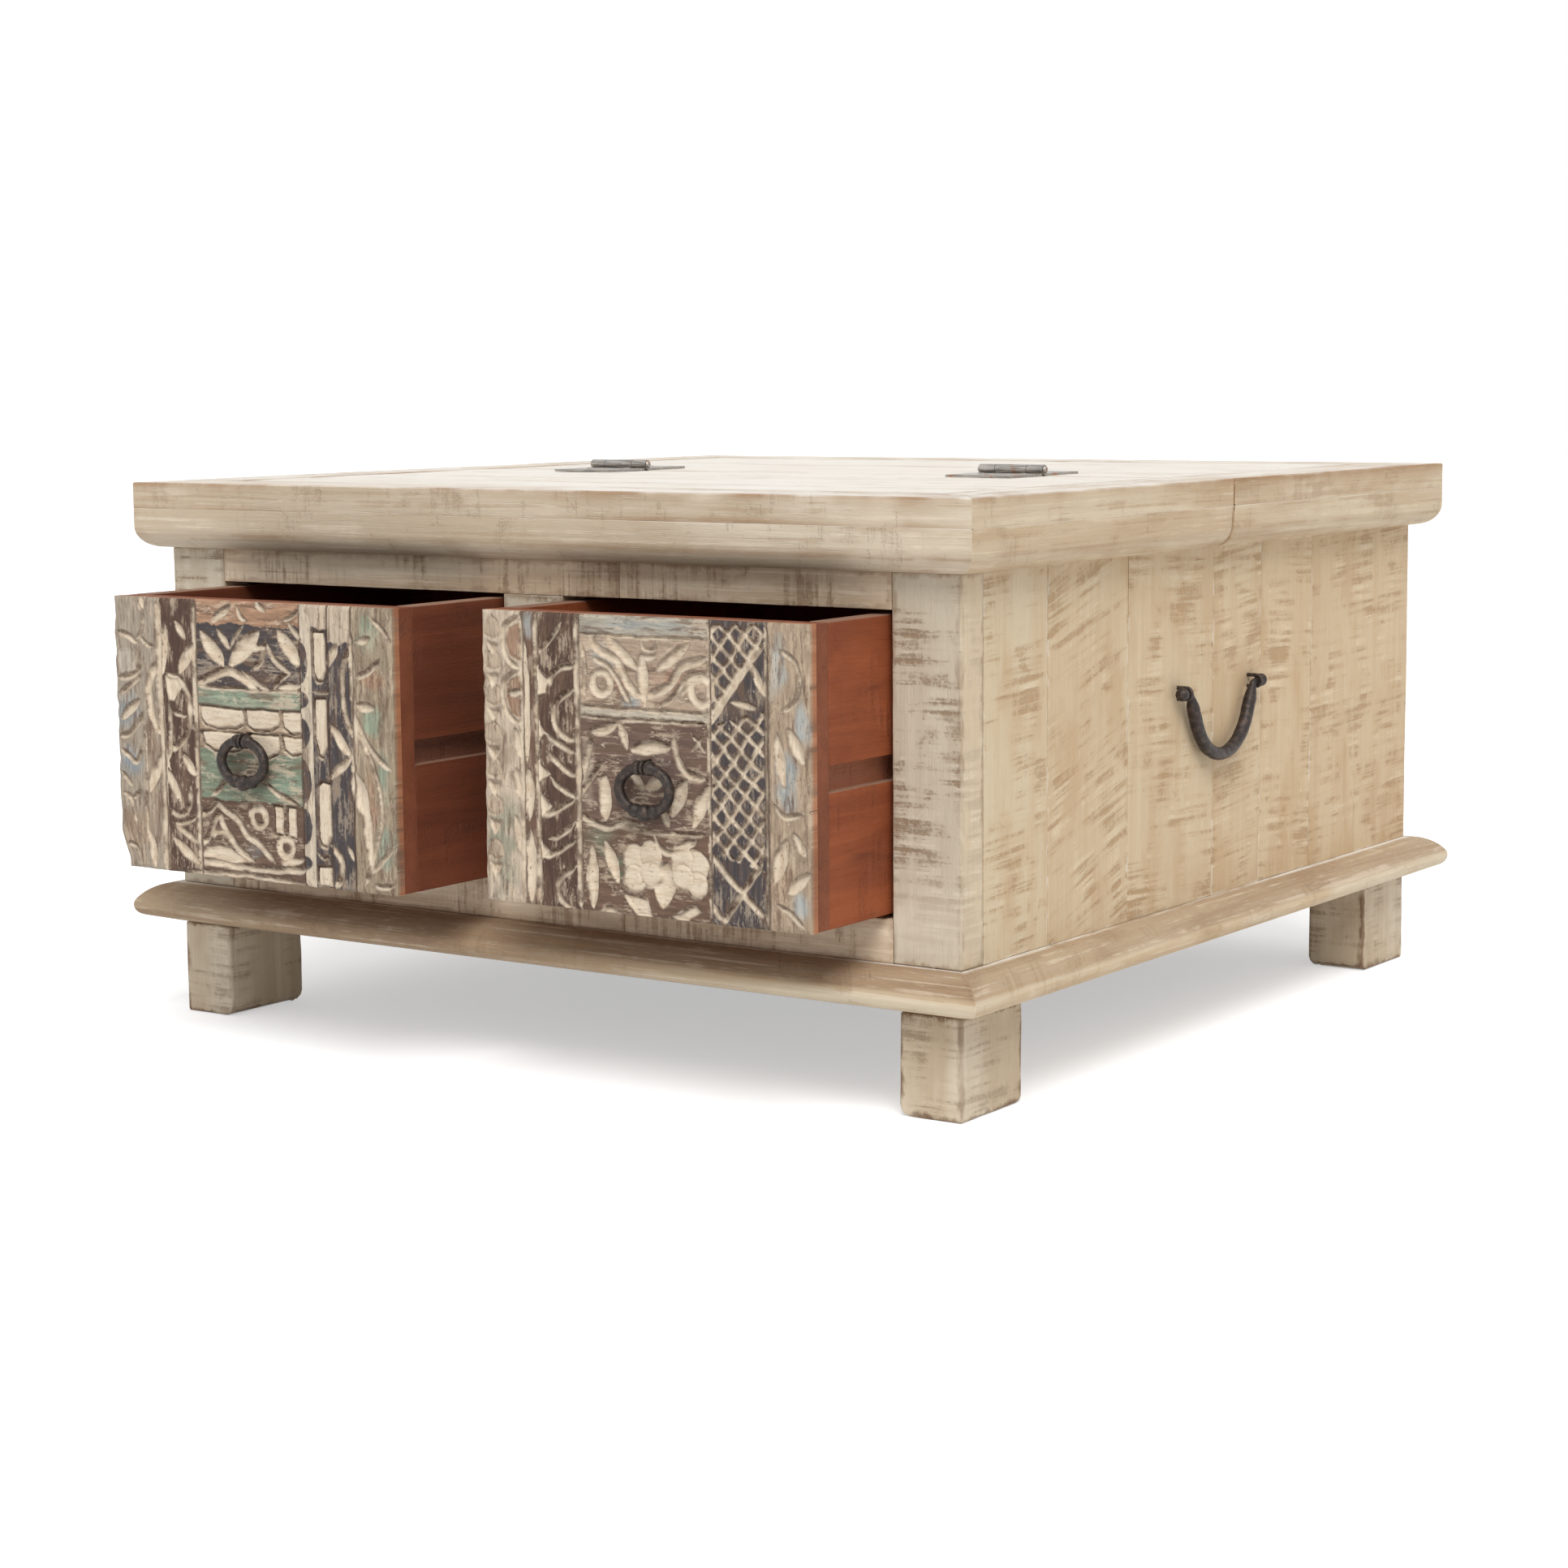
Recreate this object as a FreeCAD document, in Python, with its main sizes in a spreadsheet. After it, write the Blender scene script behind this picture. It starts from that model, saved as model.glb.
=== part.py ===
import FreeCAD, Part
import math
import os
import re
from dataclasses import dataclass

import Sketcher

# A low storage trunk of limed wood: two carved drawers under the fixed front half of the top,
# a chest under the hinged rear half. Both drawers stand part open, each at its own pull.
# Millimetres. +X is the trunk's right, -Y its front, +Z up; the origin is on the floor under the
# middle of the top.

SIZES = {
    # Top: plan, the joint between its two halves, its layers
    "top_width": 800,
    "top_depth": 800,
    "fixed_top_depth": 394,
    "lid_gap": 2.5,
    "board_thickness": 21,
    "edge_board_width": 62,
    "moulding_thickness": 32,
    "moulding_width": 70,
    "moulding_round": 17,
    "batten_thickness": 15,
    "batten_width": 40,
    "batten_spread": 370,
    "batten_margin": 12,
    # Body: walls, face frame, inner panels
    "top_overhang": 22,
    "body_height": 278,
    "plank_thickness": 20,
    "plank_one_width": 90,
    "plank_two_width": 121,
    "plank_three_width": 140,
    "plank_four_width": 84,
    "plank_five_width": 94,
    "stile_width": 57,
    "stile_thickness": 30,
    "middle_stile_width": 57,
    "rail_top_height": 27,
    "rail_bottom_height": 32,
    "tenon_length": 16,
    "tenon_thickness": 10,
    "tenon_shoulder": 5,
    "tenon_clearance": 0.2,
    "bottom_thickness": 16,
    "partition_thickness": 18,
    "divider_thickness": 20,
    # Base moulding and feet
    "base_thickness": 33,
    "base_projection": 30,
    "base_board_width": 90,
    "base_nose_height": 15,
    "base_nose_radius": 9,
    "base_under_slope": 15.5,
    "base_upper_run": 27,
    "foot_height": 76,
    "foot_width": 52,
    "foot_depth": 84,
    "foot_wear_radius": 4,
    # Drawers and their runners
    "left_drawer_pull": 126,
    "right_drawer_pull": 98.6,
    "drawer_gap": 3.3,
    "drawer_depth": 345,
    "facing_thickness": 9.5,
    "drawer_front_thickness": 15,
    "drawer_side_thickness": 16,
    "drawer_back_thickness": 14,
    "drawer_back_drop": 10,
    "drawer_bottom_thickness": 6,
    "drawer_bottom_raise": 10,
    "drawer_bottom_groove": 6,
    "panel_clearance": 0.3,
    "runner_height": 18,
    "runner_clearance": 0.3,
    "runner_groove_depth": 8,
    "runner_groove_raise": 95,
    # Carved facing blocks: the middle panel fills what the others leave, and so does its lowest row
    "left_block_one_width": 49,
    "left_block_two_width": 37,
    "left_block_four_width": 26.5,
    "left_block_five_width": 22,
    "left_block_six_width": 38.4,
    "left_strip_height": 16.5,
    "left_leaf_panel_height": 46,
    "left_scale_panel_height": 88,
    "right_block_one_width": 38,
    "right_block_two_width": 50,
    "right_block_four_width": 49.5,
    "right_block_five_width": 34.4,
    "right_strip_height": 17.5,
    "right_rosette_panel_height": 57,
    # Ring pulls
    "ring_raise": 107.5,
    "left_ring_offset": -2,
    "right_ring_offset": 8,
    "ring_half_width": 22,
    "ring_half_height": 16,
    "ring_side_radius": 12,
    "ring_wire": 8,
    "ring_neck": 5.6,
    "ring_neck_length": 4,
    "ring_bulb": 10.8,
    "ring_bulb_spread": 5,
    "ring_bead": 12.4,
    "ring_side_bead": 10.8,
    "ring_bead_spread": 8.5,
    "ring_standoff": 7.2,
    "ring_staple_wire": 2.4,
    "ring_staple_depth": 18,
    "staple_clearance": 0.3,
    "staple_hole_clearance": 0.05,
    # Bail handles
    "bail_raise": 167,
    "bail_setback": 3,
    "bail_span": 110,
    "bail_drop": 52.5,
    "bail_bend_radius": 48,
    "bail_wire": 10.4,
    "bail_end_wire": 6,
    "bail_elbow": 7,
    "bail_pin": 5.2,
    "bail_ball": 11,
    "bail_standoff": 8,
    "bail_staple_wire": 3,
    "bail_staple_depth": 14,
    # Lid hinges
    "hinge_spread": 400,
    "hinge_axis_raise": 5,
    "hinge_barrel": 8,
    "hinge_pin": 4,
    "hinge_pin_clearance": 0.05,
    "hinge_pin_head": 6.4,
    "hinge_pin_head_height": 1.4,
    "leaf_width": 60,
    "leaf_length": 55,
    "leaf_thickness": 2,
    "knuckle_middle": 29,
    "knuckle_gap": 0.4,
}

TOP_PLANKS = 4
BOTTOM_BOARDS = 5
BACK_PLANKS = 5

# Levels from the floor up
BASE_Z = "foot_height"
BODY_Z = "(foot_height + base_thickness)"
FLOOR_Z = f"({BODY_Z} + bottom_thickness)"
BODY_TOP = f"({BODY_Z} + body_height)"
BOARD_Z = f"({BODY_TOP} + moulding_thickness)"
TOP_Z = f"({BOARD_Z} + board_thickness)"
HINGE_Z = f"({TOP_Z} + hinge_axis_raise)"

# Plan lines from the middle outwards, and from the hinge line
HALF_WIDTH = "(top_width / 2)"
HALF_DEPTH = "(top_depth / 2)"
BODY_X = "(top_width / 2 - top_overhang)"
BODY_Y = "(top_depth / 2 - top_overhang)"
INSIDE_X = f"({BODY_X} - plank_thickness)"
INSIDE_Y = f"({BODY_Y} - plank_thickness)"
FRAME_BACK_Y = f"(-{BODY_Y} + stile_thickness)"
HINGE_Y = "(fixed_top_depth - top_depth / 2)"
FIXED_END_Y = f"({HINGE_Y} - lid_gap / 2)"
LID_START_Y = f"({HINGE_Y} + lid_gap / 2)"
PARTITION_Y = f"({FIXED_END_Y} - partition_thickness)"
OPENING_INNER_X = "(middle_stile_width / 2)"
OPENING_OUTER_X = f"({BODY_X} - stile_width)"
OPENING_Z = f"({BODY_Z} + rail_bottom_height)"
OPENING_TOP = f"({BODY_TOP} - rail_top_height)"

# Drawer box, and the fits of the two kinds of staple
DRAWER_HALF_X = f"(({OPENING_OUTER_X} - {OPENING_INNER_X}) / 2 - drawer_gap)"
DRAWER_MIDDLE_X = f"(({OPENING_OUTER_X} + {OPENING_INNER_X}) / 2)"
DRAWER_Z = f"({OPENING_Z} + drawer_gap)"
DRAWER_TOP = f"({OPENING_TOP} - drawer_gap)"
DRAWER_FRONT_DEPTH = "(facing_thickness + drawer_front_thickness)"
GROOVE_Z = f"({DRAWER_Z} + runner_groove_raise)"
GROOVE_TOP = f"({GROOVE_Z} + runner_height + 2 * runner_clearance)"
PANEL_Z = f"({DRAWER_Z} + drawer_bottom_raise)"
PANEL_TOP = f"({PANEL_Z} + drawer_bottom_thickness)"
RING_STAPLE_RADIUS = "(ring_neck / 2 + staple_clearance + ring_staple_wire / 2)"
BAIL_STAPLE_RADIUS = "(bail_pin / 2 + staple_clearance + bail_staple_wire / 2)"
BAIL_STAPLE_X = "(bail_span / 2 + bail_elbow / 2 + staple_clearance + bail_staple_wire / 2)"
BAIL_BALL_X = f"({BAIL_STAPLE_X} + bail_staple_wire / 2 + staple_clearance + bail_ball / 2)"
BAIL_Z = f"({BODY_Z} + bail_raise)"

LEFT, RIGHT = -1, 1
SIDES = {"left": LEFT, "right": RIGHT}
FRONT, BACK = -1, 1
HALVES = {"front": FRONT, "back": BACK}
UP = FreeCAD.Vector(0, 0, 1)
ALONG_X = FreeCAD.Rotation(UP, FreeCAD.Vector(1, 0, 0))
ALONG_Y = FreeCAD.Rotation(UP, FreeCAD.Vector(0, 1, 0))

doc = FreeCAD.newDocument("storage_trunk")
sheet = doc.addObject("Spreadsheet::Sheet", "Sizes")
for row, (alias, number) in enumerate(SIZES.items(), start=1):
    sheet.set(f"A{row}", alias)
    sheet.set(f"B{row}", str(number))
    sheet.setAlias(f"B{row}", alias)
doc.recompute()

nodes = []
cuts = []


@dataclass(frozen=True)
class Corner:
    """A corner of an outline; with a radius, the edge that leaves it is an arc."""

    u: str
    v: str
    radius: str = ""
    turn: int = 1


@dataclass(frozen=True)
class Disc:
    """A round outline."""

    u: str
    v: str
    radius: str


def tied(formula):
    """The formula with each size's name pointed at its cell."""

    def cell(word):
        return f"Sizes.{word[0]}" if word[0] in SIZES else word[0]

    return re.sub(r"[a-z][a-z_]+", cell, formula)


def value(formula):
    """What the formula comes to with the sheet's sizes."""
    return float(sheet.evalExpression(tied(formula)))


def place(thing, x, y, z, turn=FreeCAD.Rotation()):
    """Sets a piece's direction and ties its position to the sheet."""
    thing.Placement = FreeCAD.Placement(FreeCAD.Vector(value(x), value(y), value(z)), turn)
    for axis, formula in zip("xyz", (x, y, z)):
        thing.setExpression(f"Placement.Base.{axis}", tied(formula))
    return thing


def keep(label, thing):
    """Names a finished piece; the name is its file's name."""
    thing.Label = label
    nodes.append(thing)
    return thing


def primitive(kind, name, **sizes):
    """A solid of one of the plain kinds with its sizes tied to the sheet."""
    thing = doc.addObject(kind, name)
    for size, formula in sizes.items():
        thing.setExpression(size, tied(formula))
    return thing


def board(name, xs, ys, zs):
    """A plain sawn board between two lines in each direction."""
    length, width, height = (f"({high}) - ({low})" for low, high in (xs, ys, zs))
    solid = primitive("Part::Box", name, Length=length, Width=width, Height=height)
    return place(solid, xs[0], ys[0], zs[0])


def joined(name, pieces):
    """Pieces forged or glued into one solid."""
    whole = doc.addObject("Part::MultiFuse", name)
    whole.Shapes = pieces
    return whole


def group(name, pieces):
    """Separate pieces that share one node."""
    whole = doc.addObject("Part::Compound", name)
    whole.Links = pieces
    return whole


def less(name, base, tool):
    """The base with the tool cut out of it."""
    whole = doc.addObject("Part::Cut", name)
    whole.Base = base
    whole.Tool = tool
    cuts.append(whole)
    return whole


def body(name):
    """An empty body for sketched features."""
    return doc.addObject("PartDesign::Body", name)


def arc_between(start, end, radius, turn):
    """The short arc between two points, bulging to the right of the way when it turns left."""
    chord = end - start
    across = FreeCAD.Vector(-chord.y, chord.x, 0).normalize()
    rise = math.sqrt(max(radius**2 - (chord.Length / 2) ** 2, 0))
    centre = (start + end) * 0.5 + across * (turn * rise)
    first, last = (start, end) if turn > 0 else (end, start)
    angles = [math.atan2(point.y - centre.y, point.x - centre.x) for point in (first, last)]
    return Part.ArcOfCircle(Part.Circle(centre, UP, radius), *angles)


def hold_point(sketch, edge, end, u, v):
    """Ties a point of a sketch's edge to its distances from the sketch's origin."""
    for direction, formula in (("DistanceX", u), ("DistanceY", v)):
        index = sketch.addConstraint(Sketcher.Constraint(direction, -1, 1, edge, end, value(formula)))
        sketch.setExpression(f"Constraints[{index}]", tied(formula))


def hold_radius(sketch, edge, radius):
    """Ties a round edge's radius to the sheet."""
    index = sketch.addConstraint(Sketcher.Constraint("Radius", edge, value(radius)))
    sketch.setExpression(f"Constraints[{index}]", tied(radius))


def draw(sketch, outline):
    """Draws a closed outline of straight and round edges, each corner tied to the sheet."""
    points = [FreeCAD.Vector(value(corner.u), value(corner.v), 0) for corner in outline]
    starts = []
    for index, corner in enumerate(outline):
        start, end = points[index], points[(index + 1) % len(points)]
        if corner.radius:
            sketch.addGeometry(arc_between(start, end, value(corner.radius), corner.turn), False)
            starts.append(1 if corner.turn > 0 else 2)
        else:
            sketch.addGeometry(Part.LineSegment(start, end), False)
            starts.append(1)
    for index, corner in enumerate(outline):
        after = (index + 1) % len(outline)
        meeting = (index, 3 - starts[index], after, starts[after])
        sketch.addConstraint(Sketcher.Constraint("Coincident", *meeting))
        hold_point(sketch, index, starts[index], corner.u, corner.v)
        if corner.radius:
            hold_radius(sketch, index, corner.radius)


def profile(solid, plane, outline, offset="0", shift="0"):
    """A sketch on one of the body's planes, moved along its normal and up its second axis."""
    sketch = solid.newObject("Sketcher::SketchObject", f"{solid.Name}_outline")
    support = next(item for item in solid.Origin.OriginFeatures if item.Role == f"{plane}_Plane")
    sketch.AttachmentSupport = [(support, "")]
    sketch.MapMode = "FlatFace"
    sketch.setExpression("AttachmentOffset.Base.y", tied(shift))
    sketch.setExpression("AttachmentOffset.Base.z", tied(offset))
    if isinstance(outline, Disc):
        centre = FreeCAD.Vector(value(outline.u), value(outline.v), 0)
        sketch.addGeometry(Part.Circle(centre, UP, value(outline.radius)), False)
        hold_point(sketch, 0, 3, outline.u, outline.v)
        hold_radius(sketch, 0, outline.radius)
    else:
        draw(sketch, outline)
    return sketch


def pad(solid, plane, outline, low, high):
    """Adds an outline's prism between two positions along the plane's world axis."""
    offset = f"-({high})" if plane == "XZ" else low
    feature = solid.newObject("PartDesign::Pad", f"{solid.Name}_pad")
    feature.Profile = profile(solid, plane, outline, offset)
    feature.setExpression("Length", tied(f"({high}) - ({low})"))
    return feature


def pocket(solid, plane, outline, low, high):
    """Cuts an outline's prism between two positions along the plane's world axis."""
    offset = f"-({low})" if plane == "XZ" else high
    feature = solid.newObject("PartDesign::Pocket", f"{solid.Name}_pocket")
    feature.Profile = profile(solid, plane, outline, offset)
    feature.setExpression("Length", tied(f"({high}) - ({low})"))
    cuts.append(feature)
    return feature


def rectangle(u0, v0, u1, v1):
    """The four corners of a rectangle."""
    return [Corner(u0, v0), Corner(u1, v0), Corner(u1, v1), Corner(u0, v1)]


def between(side, inner, outer):
    """The low and high lines of something between two distances from the middle, on one side of it."""
    if side > 0:
        return inner, outer
    return f"-({outer})", f"-({inner})"


def moulding_section(side, outer):
    """A section through the moulding under the top's edge: a quarter round from underside to face."""
    inner = f"{side} * ({outer} - moulding_width)"
    face = f"{side} * ({outer})"
    return [
        Corner(inner, BODY_TOP),
        Corner(f"{side} * ({outer} - moulding_round)", BODY_TOP, "moulding_round", side),
        Corner(face, f"{BODY_TOP} + moulding_round"),
        Corner(face, BOARD_Z),
        Corner(inner, BOARD_Z),
    ]


def base_section(side, outer):
    """A section through the base moulding: it slopes up to a round nose, and a broad arc leads back."""
    inner = f"{side} * ({outer} - base_board_width)"
    nose = "base_nose_radius"
    nose_z = f"({BASE_Z} + base_nose_height)"
    drop = "(base_thickness - base_nose_height)"
    reach = f"(base_upper_run - {nose})"
    broad = f"(({reach} * {reach} + {drop} * {drop} - {nose} * {nose}) / (2 * ({drop} - {nose})))"
    low_u = f"({outer} - {nose} + {nose} * sin(base_under_slope))"
    low_z = f"({nose_z} - {nose} * cos(base_under_slope))"
    heel = f"({low_u} - ({low_z} - {BASE_Z}) / tan(base_under_slope))"
    high_u = f"({outer} - {nose} + {nose} * {reach} / ({broad} - {nose}))"
    high_z = f"({nose_z} + {nose} * ({broad} - {drop}) / ({broad} - {nose}))"
    return [
        Corner(inner, BASE_Z),
        Corner(f"{side} * {heel}", BASE_Z),
        Corner(f"{side} * {low_u}", low_z, nose, side),
        Corner(f"{side} * {high_u}", high_z, broad, side),
        Corner(f"{side} * ({outer} - base_upper_run)", BODY_Z),
        Corner(inner, BODY_Z),
    ]


def mitre(solid, end_x, end_y, width, across, low, high):
    """Cuts the end of a board that runs along the given axis at 45 degrees to the frame's corner."""
    x, y = (f"{sign} * ({reach})" for sign, reach in (end_x, end_y))
    inner_x, inner_y = (f"{sign} * ({reach} - {width})" for sign, reach in (end_x, end_y))
    waste = Corner(x, inner_y) if across == "X" else Corner(inner_x, y)
    pocket(solid, "XY", [Corner(x, y), waste, Corner(inner_x, inner_y)], low, high)


def frame_side_x(name, half, section, reach_x, reach_y, width, low, high):
    """A mitred moulding across the front or the back."""
    solid = body(name)
    pad(solid, "YZ", section(half, reach_y), f"-{reach_x}", reach_x)
    for side in (LEFT, RIGHT):
        mitre(solid, (side, reach_x), (half, reach_y), width, "X", low, high)
    return keep(name, solid)


def feet():
    """Four square feet, flush with the body's corners, their lower edges worn round."""
    for half_name, half in HALVES.items():
        for side_name, side in SIDES.items():
            name = f"foot_{half_name}_{side_name}"
            solid = body(name)
            x0, x1 = between(side, f"{BODY_X} - foot_width", BODY_X)
            y0, y1 = between(half, f"{BODY_Y} - foot_depth", BODY_Y)
            block = pad(solid, "XY", rectangle(x0, y0, x1, y1), "0", BASE_Z)
            doc.recompute()
            low_edges = [
                f"Edge{number}"
                for number, edge in enumerate(block.Shape.Edges, start=1)
                if edge.BoundBox.ZMax < value(BASE_Z) / 2
            ]
            worn = solid.newObject("PartDesign::Fillet", f"{name}_wear")
            worn.Base = (block, low_edges)
            worn.setExpression("Radius", tied("foot_wear_radius"))
            keep(name, solid)


def base():
    """The mitred base moulding that the body stands on."""
    reach_x = f"({BODY_X} + base_projection)"
    reach_y = f"({BODY_Y} + base_projection)"
    for half_name, half in HALVES.items():
        name = f"base_moulding_{half_name}"
        frame_side_x(name, half, base_section, reach_x, reach_y, "base_board_width", BASE_Z, BODY_Z)
    for side_name, side in SIDES.items():
        name = f"base_moulding_{side_name}"
        solid = body(name)
        pad(solid, "XZ", base_section(side, reach_x), f"-{reach_y}", reach_y)
        for half in (FRONT, BACK):
            mitre(solid, (side, reach_x), (half, reach_y), "base_board_width", "Y", BASE_Z, BODY_Z)
        keep(name, solid)


def even_boards(name, count, low, high, make):
    """A row of boards of one width that fills a span."""
    step = f"(({high}) - ({low})) / {count}"
    lines = [f"{low} + {number} * {step}" for number in range(count + 1)]
    boards = [make(f"{name}_board", span) for span in zip(lines, lines[1:])]
    return keep(name, group(name, boards))


def floor_and_panels():
    """The bottom boards, the chest's front partition and the wall between the drawers."""
    inside = (f"-{INSIDE_X}", INSIDE_X)
    even_boards(
        "bottom_boards",
        BOTTOM_BOARDS,
        FRAME_BACK_Y,
        INSIDE_Y,
        lambda name, ys: board(name, inside, ys, (BODY_Z, FLOOR_Z)),
    )
    heights = (FLOOR_Z, BODY_TOP)
    partition = board("chest_partition", inside, (PARTITION_Y, FIXED_END_Y), heights)
    keep("chest_partition", partition)
    wall = ("-divider_thickness / 2", "divider_thickness / 2")
    divider = board("drawer_divider", wall, (FRAME_BACK_Y, PARTITION_Y), heights)
    keep("drawer_divider", divider)


def tenon_box(name, xs, zs, room="0"):
    """A stub tenon in the middle of the face frame's thickness; with room to spare, its mortise."""
    middle = f"(-{BODY_Y} + stile_thickness / 2)"
    ys = (f"{middle} - tenon_thickness / 2 - {room}", f"{middle} + tenon_thickness / 2 + {room}")
    return board(name, xs, ys, zs)


def face_frame():
    """Stiles and rails of the front, mortised and tenoned, the middle stile between the rails."""
    depth = (f"-{BODY_Y}", FRAME_BACK_Y)
    rails = {"front_rail_top": (OPENING_TOP, BODY_TOP), "front_rail_bottom": (BODY_Z, OPENING_Z)}
    for side_name, side in SIDES.items():
        name = f"front_stile_{side_name}"
        post = board(f"{name}_post", between(side, OPENING_OUTER_X, BODY_X), depth, (BODY_Z, BODY_TOP))
        mortises = []
        for rail, (low, high) in rails.items():
            xs = between(side, OPENING_OUTER_X, f"{OPENING_OUTER_X} + tenon_length + tenon_clearance")
            inset = "(tenon_shoulder - tenon_clearance)"
            zs = (f"{low} + {inset}", f"{high} - {inset}")
            mortises.append(tenon_box(f"{name}_{rail}_mortise", xs, zs, "tenon_clearance"))
        keep(name, less(name, post, group(f"{name}_mortises", mortises)))
    half_tenon = "(middle_stile_width / 2 - tenon_shoulder)"
    stub = "(tenon_length / 2)"
    for name, (low, high) in rails.items():
        parts = [board(f"{name}_bar", (f"-{OPENING_OUTER_X}", OPENING_OUTER_X), depth, (low, high))]
        for side in (LEFT, RIGHT):
            xs = between(side, OPENING_OUTER_X, f"{OPENING_OUTER_X} + tenon_length")
            zs = (f"{low} + tenon_shoulder", f"{high} - tenon_shoulder")
            parts.append(tenon_box(f"{name}_tenon", xs, zs))
        sunk = f"({stub} + tenon_clearance)"
        zs = (low, f"{low} + {sunk}") if name == "front_rail_top" else (f"{high} - {sunk}", high)
        xs = (f"-({half_tenon} + tenon_clearance)", f"{half_tenon} + tenon_clearance")
        mortise = tenon_box(f"{name}_mortise", xs, zs, "tenon_clearance")
        keep(name, less(name, joined(f"{name}_whole", parts), mortise))
    name = "front_stile_middle"
    width = ("-middle_stile_width / 2", "middle_stile_width / 2")
    post = board(f"{name}_post", width, depth, (OPENING_Z, OPENING_TOP))
    heights = (f"{OPENING_Z} - {stub}", f"{OPENING_TOP} + {stub}")
    tongue = tenon_box(f"{name}_tenon", (f"-{half_tenon}", half_tenon), heights)
    keep(name, joined(name, [post, tongue]))


def handle_legs(name, side):
    """The holes that a handle's staples are driven into."""
    holes = []
    for end in (-1, 1):
        for level in (-1, 1):
            hole = primitive(
                "Part::Cylinder",
                f"{name}_hole",
                Radius="bail_staple_wire / 2 + staple_hole_clearance",
                Height="bail_staple_depth + staple_hole_clearance",
            )
            turn = FreeCAD.Rotation(UP, FreeCAD.Vector(-side, 0, 0))
            y = f"bail_setback + {end} * {BAIL_STAPLE_X}"
            z = f"{BAIL_Z} + {level} * {BAIL_STAPLE_RADIUS}"
            holes.append(place(hole, f"{side} * {BODY_X}", y, z, turn))
    return group(f"{name}_holes", holes)


def walls():
    """Upright planks of unequal width on both sides, even ones at the back."""
    widths = [f"plank_{word}_width" for word in ("one", "two", "three", "four", "five")]
    lines = [FRAME_BACK_Y]
    for width in widths:
        lines.append(f"({lines[-1]} + {width})")
    lines.append(BODY_Y)
    for side_name, side in SIDES.items():
        name = f"side_planks_{side_name}"
        xs = between(side, INSIDE_X, BODY_X)
        planks = [board(f"{name}_plank", xs, ys, (BODY_Z, BODY_TOP)) for ys in zip(lines, lines[1:])]
        keep(name, less(name, group(f"{name}_row", planks), handle_legs(name, side)))
    even_boards(
        "back_planks",
        BACK_PLANKS,
        f"-{INSIDE_X}",
        INSIDE_X,
        lambda name, xs: board(name, xs, (INSIDE_Y, BODY_Y), (BODY_Z, BODY_TOP)),
    )


def half_top(prefix, half, far_name, joint_y):
    """One half of the top: planks in mitred edge boards over a mitred moulding, open at the joint."""
    layer = (BOARD_Z, TOP_Z)
    far = f"{half} * {HALF_DEPTH}"
    near = f"{half} * ({HALF_DEPTH} - edge_board_width)"
    rim = f"({HALF_WIDTH} - edge_board_width)"
    name = f"{prefix}_{far_name}_board"
    solid = body(name)
    corners = [(f"-{HALF_WIDTH}", far), (HALF_WIDTH, far), (rim, near), (f"-{rim}", near)]
    pad(solid, "XY", [Corner(*corner) for corner in corners], *layer)
    keep(name, solid)
    name = f"{prefix}_moulding_{far_name}"
    frame_side_x(name, half, moulding_section, HALF_WIDTH, HALF_DEPTH, "moulding_width", BODY_TOP, BOARD_Z)
    run = (f"-{HALF_DEPTH}", joint_y) if half == FRONT else (joint_y, HALF_DEPTH)
    for side_name, side in SIDES.items():
        name = f"{prefix}_{side_name}_board"
        solid = body(name)
        outer, inner = f"{side} * {HALF_WIDTH}", f"{side} * {rim}"
        corners = [(outer, far), (inner, near), (inner, joint_y), (outer, joint_y)]
        pad(solid, "XY", [Corner(*corner) for corner in corners], *layer)
        keep(name, solid)
        name = f"{prefix}_moulding_{side_name}"
        solid = body(name)
        pad(solid, "XZ", moulding_section(side, HALF_WIDTH), *run)
        mitre(solid, (side, HALF_WIDTH), (half, HALF_DEPTH), "moulding_width", "Y", BODY_TOP, BOARD_Z)
        keep(name, solid)
    low, high = (near, joint_y) if half == FRONT else (joint_y, near)
    even_boards(
        f"{prefix}_planks",
        TOP_PLANKS,
        low,
        high,
        lambda name, ys: board(name, (f"-{rim}", rim), ys, layer),
    )


def battens():
    """The batten that closes the fixed half over the partition, and the cleats under the lid."""
    edge = f"({HALF_WIDTH} - moulding_width)"
    bar = board("fixed_top_batten", (f"-{edge}", edge), (PARTITION_Y, FIXED_END_Y), (BODY_TOP, BOARD_Z))
    keep("fixed_top_batten", bar)
    cleats = []
    for side in (LEFT, RIGHT):
        middle = f"{side} * batten_spread / 2"
        xs = (f"{middle} - batten_width / 2", f"{middle} + batten_width / 2")
        ys = (f"{LID_START_Y} + batten_margin", f"{HALF_DEPTH} - moulding_width - batten_margin")
        cleats.append(board("lid_cleat", xs, ys, (f"{BOARD_Z} - batten_thickness", BOARD_Z)))
    keep("lid_battens", group("lid_battens", cleats))


def runners(name, side):
    """The two bars that carry a drawer by the grooves in its sides."""
    low = f"{GROOVE_Z} + runner_clearance"
    zs = (low, f"{low} + runner_height")
    ys = (FRAME_BACK_Y, PARTITION_Y)
    outer_tip = f"{DRAWER_MIDDLE_X} + {DRAWER_HALF_X} - runner_groove_depth + runner_clearance"
    inner_tip = f"{DRAWER_MIDDLE_X} - {DRAWER_HALF_X} + runner_groove_depth - runner_clearance"
    bars = [
        board(f"{name}_outer", between(side, outer_tip, INSIDE_X), ys, zs),
        board(f"{name}_inner", between(side, "divider_thickness / 2", inner_tip), ys, zs),
    ]
    keep(name, group(name, bars))


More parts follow.
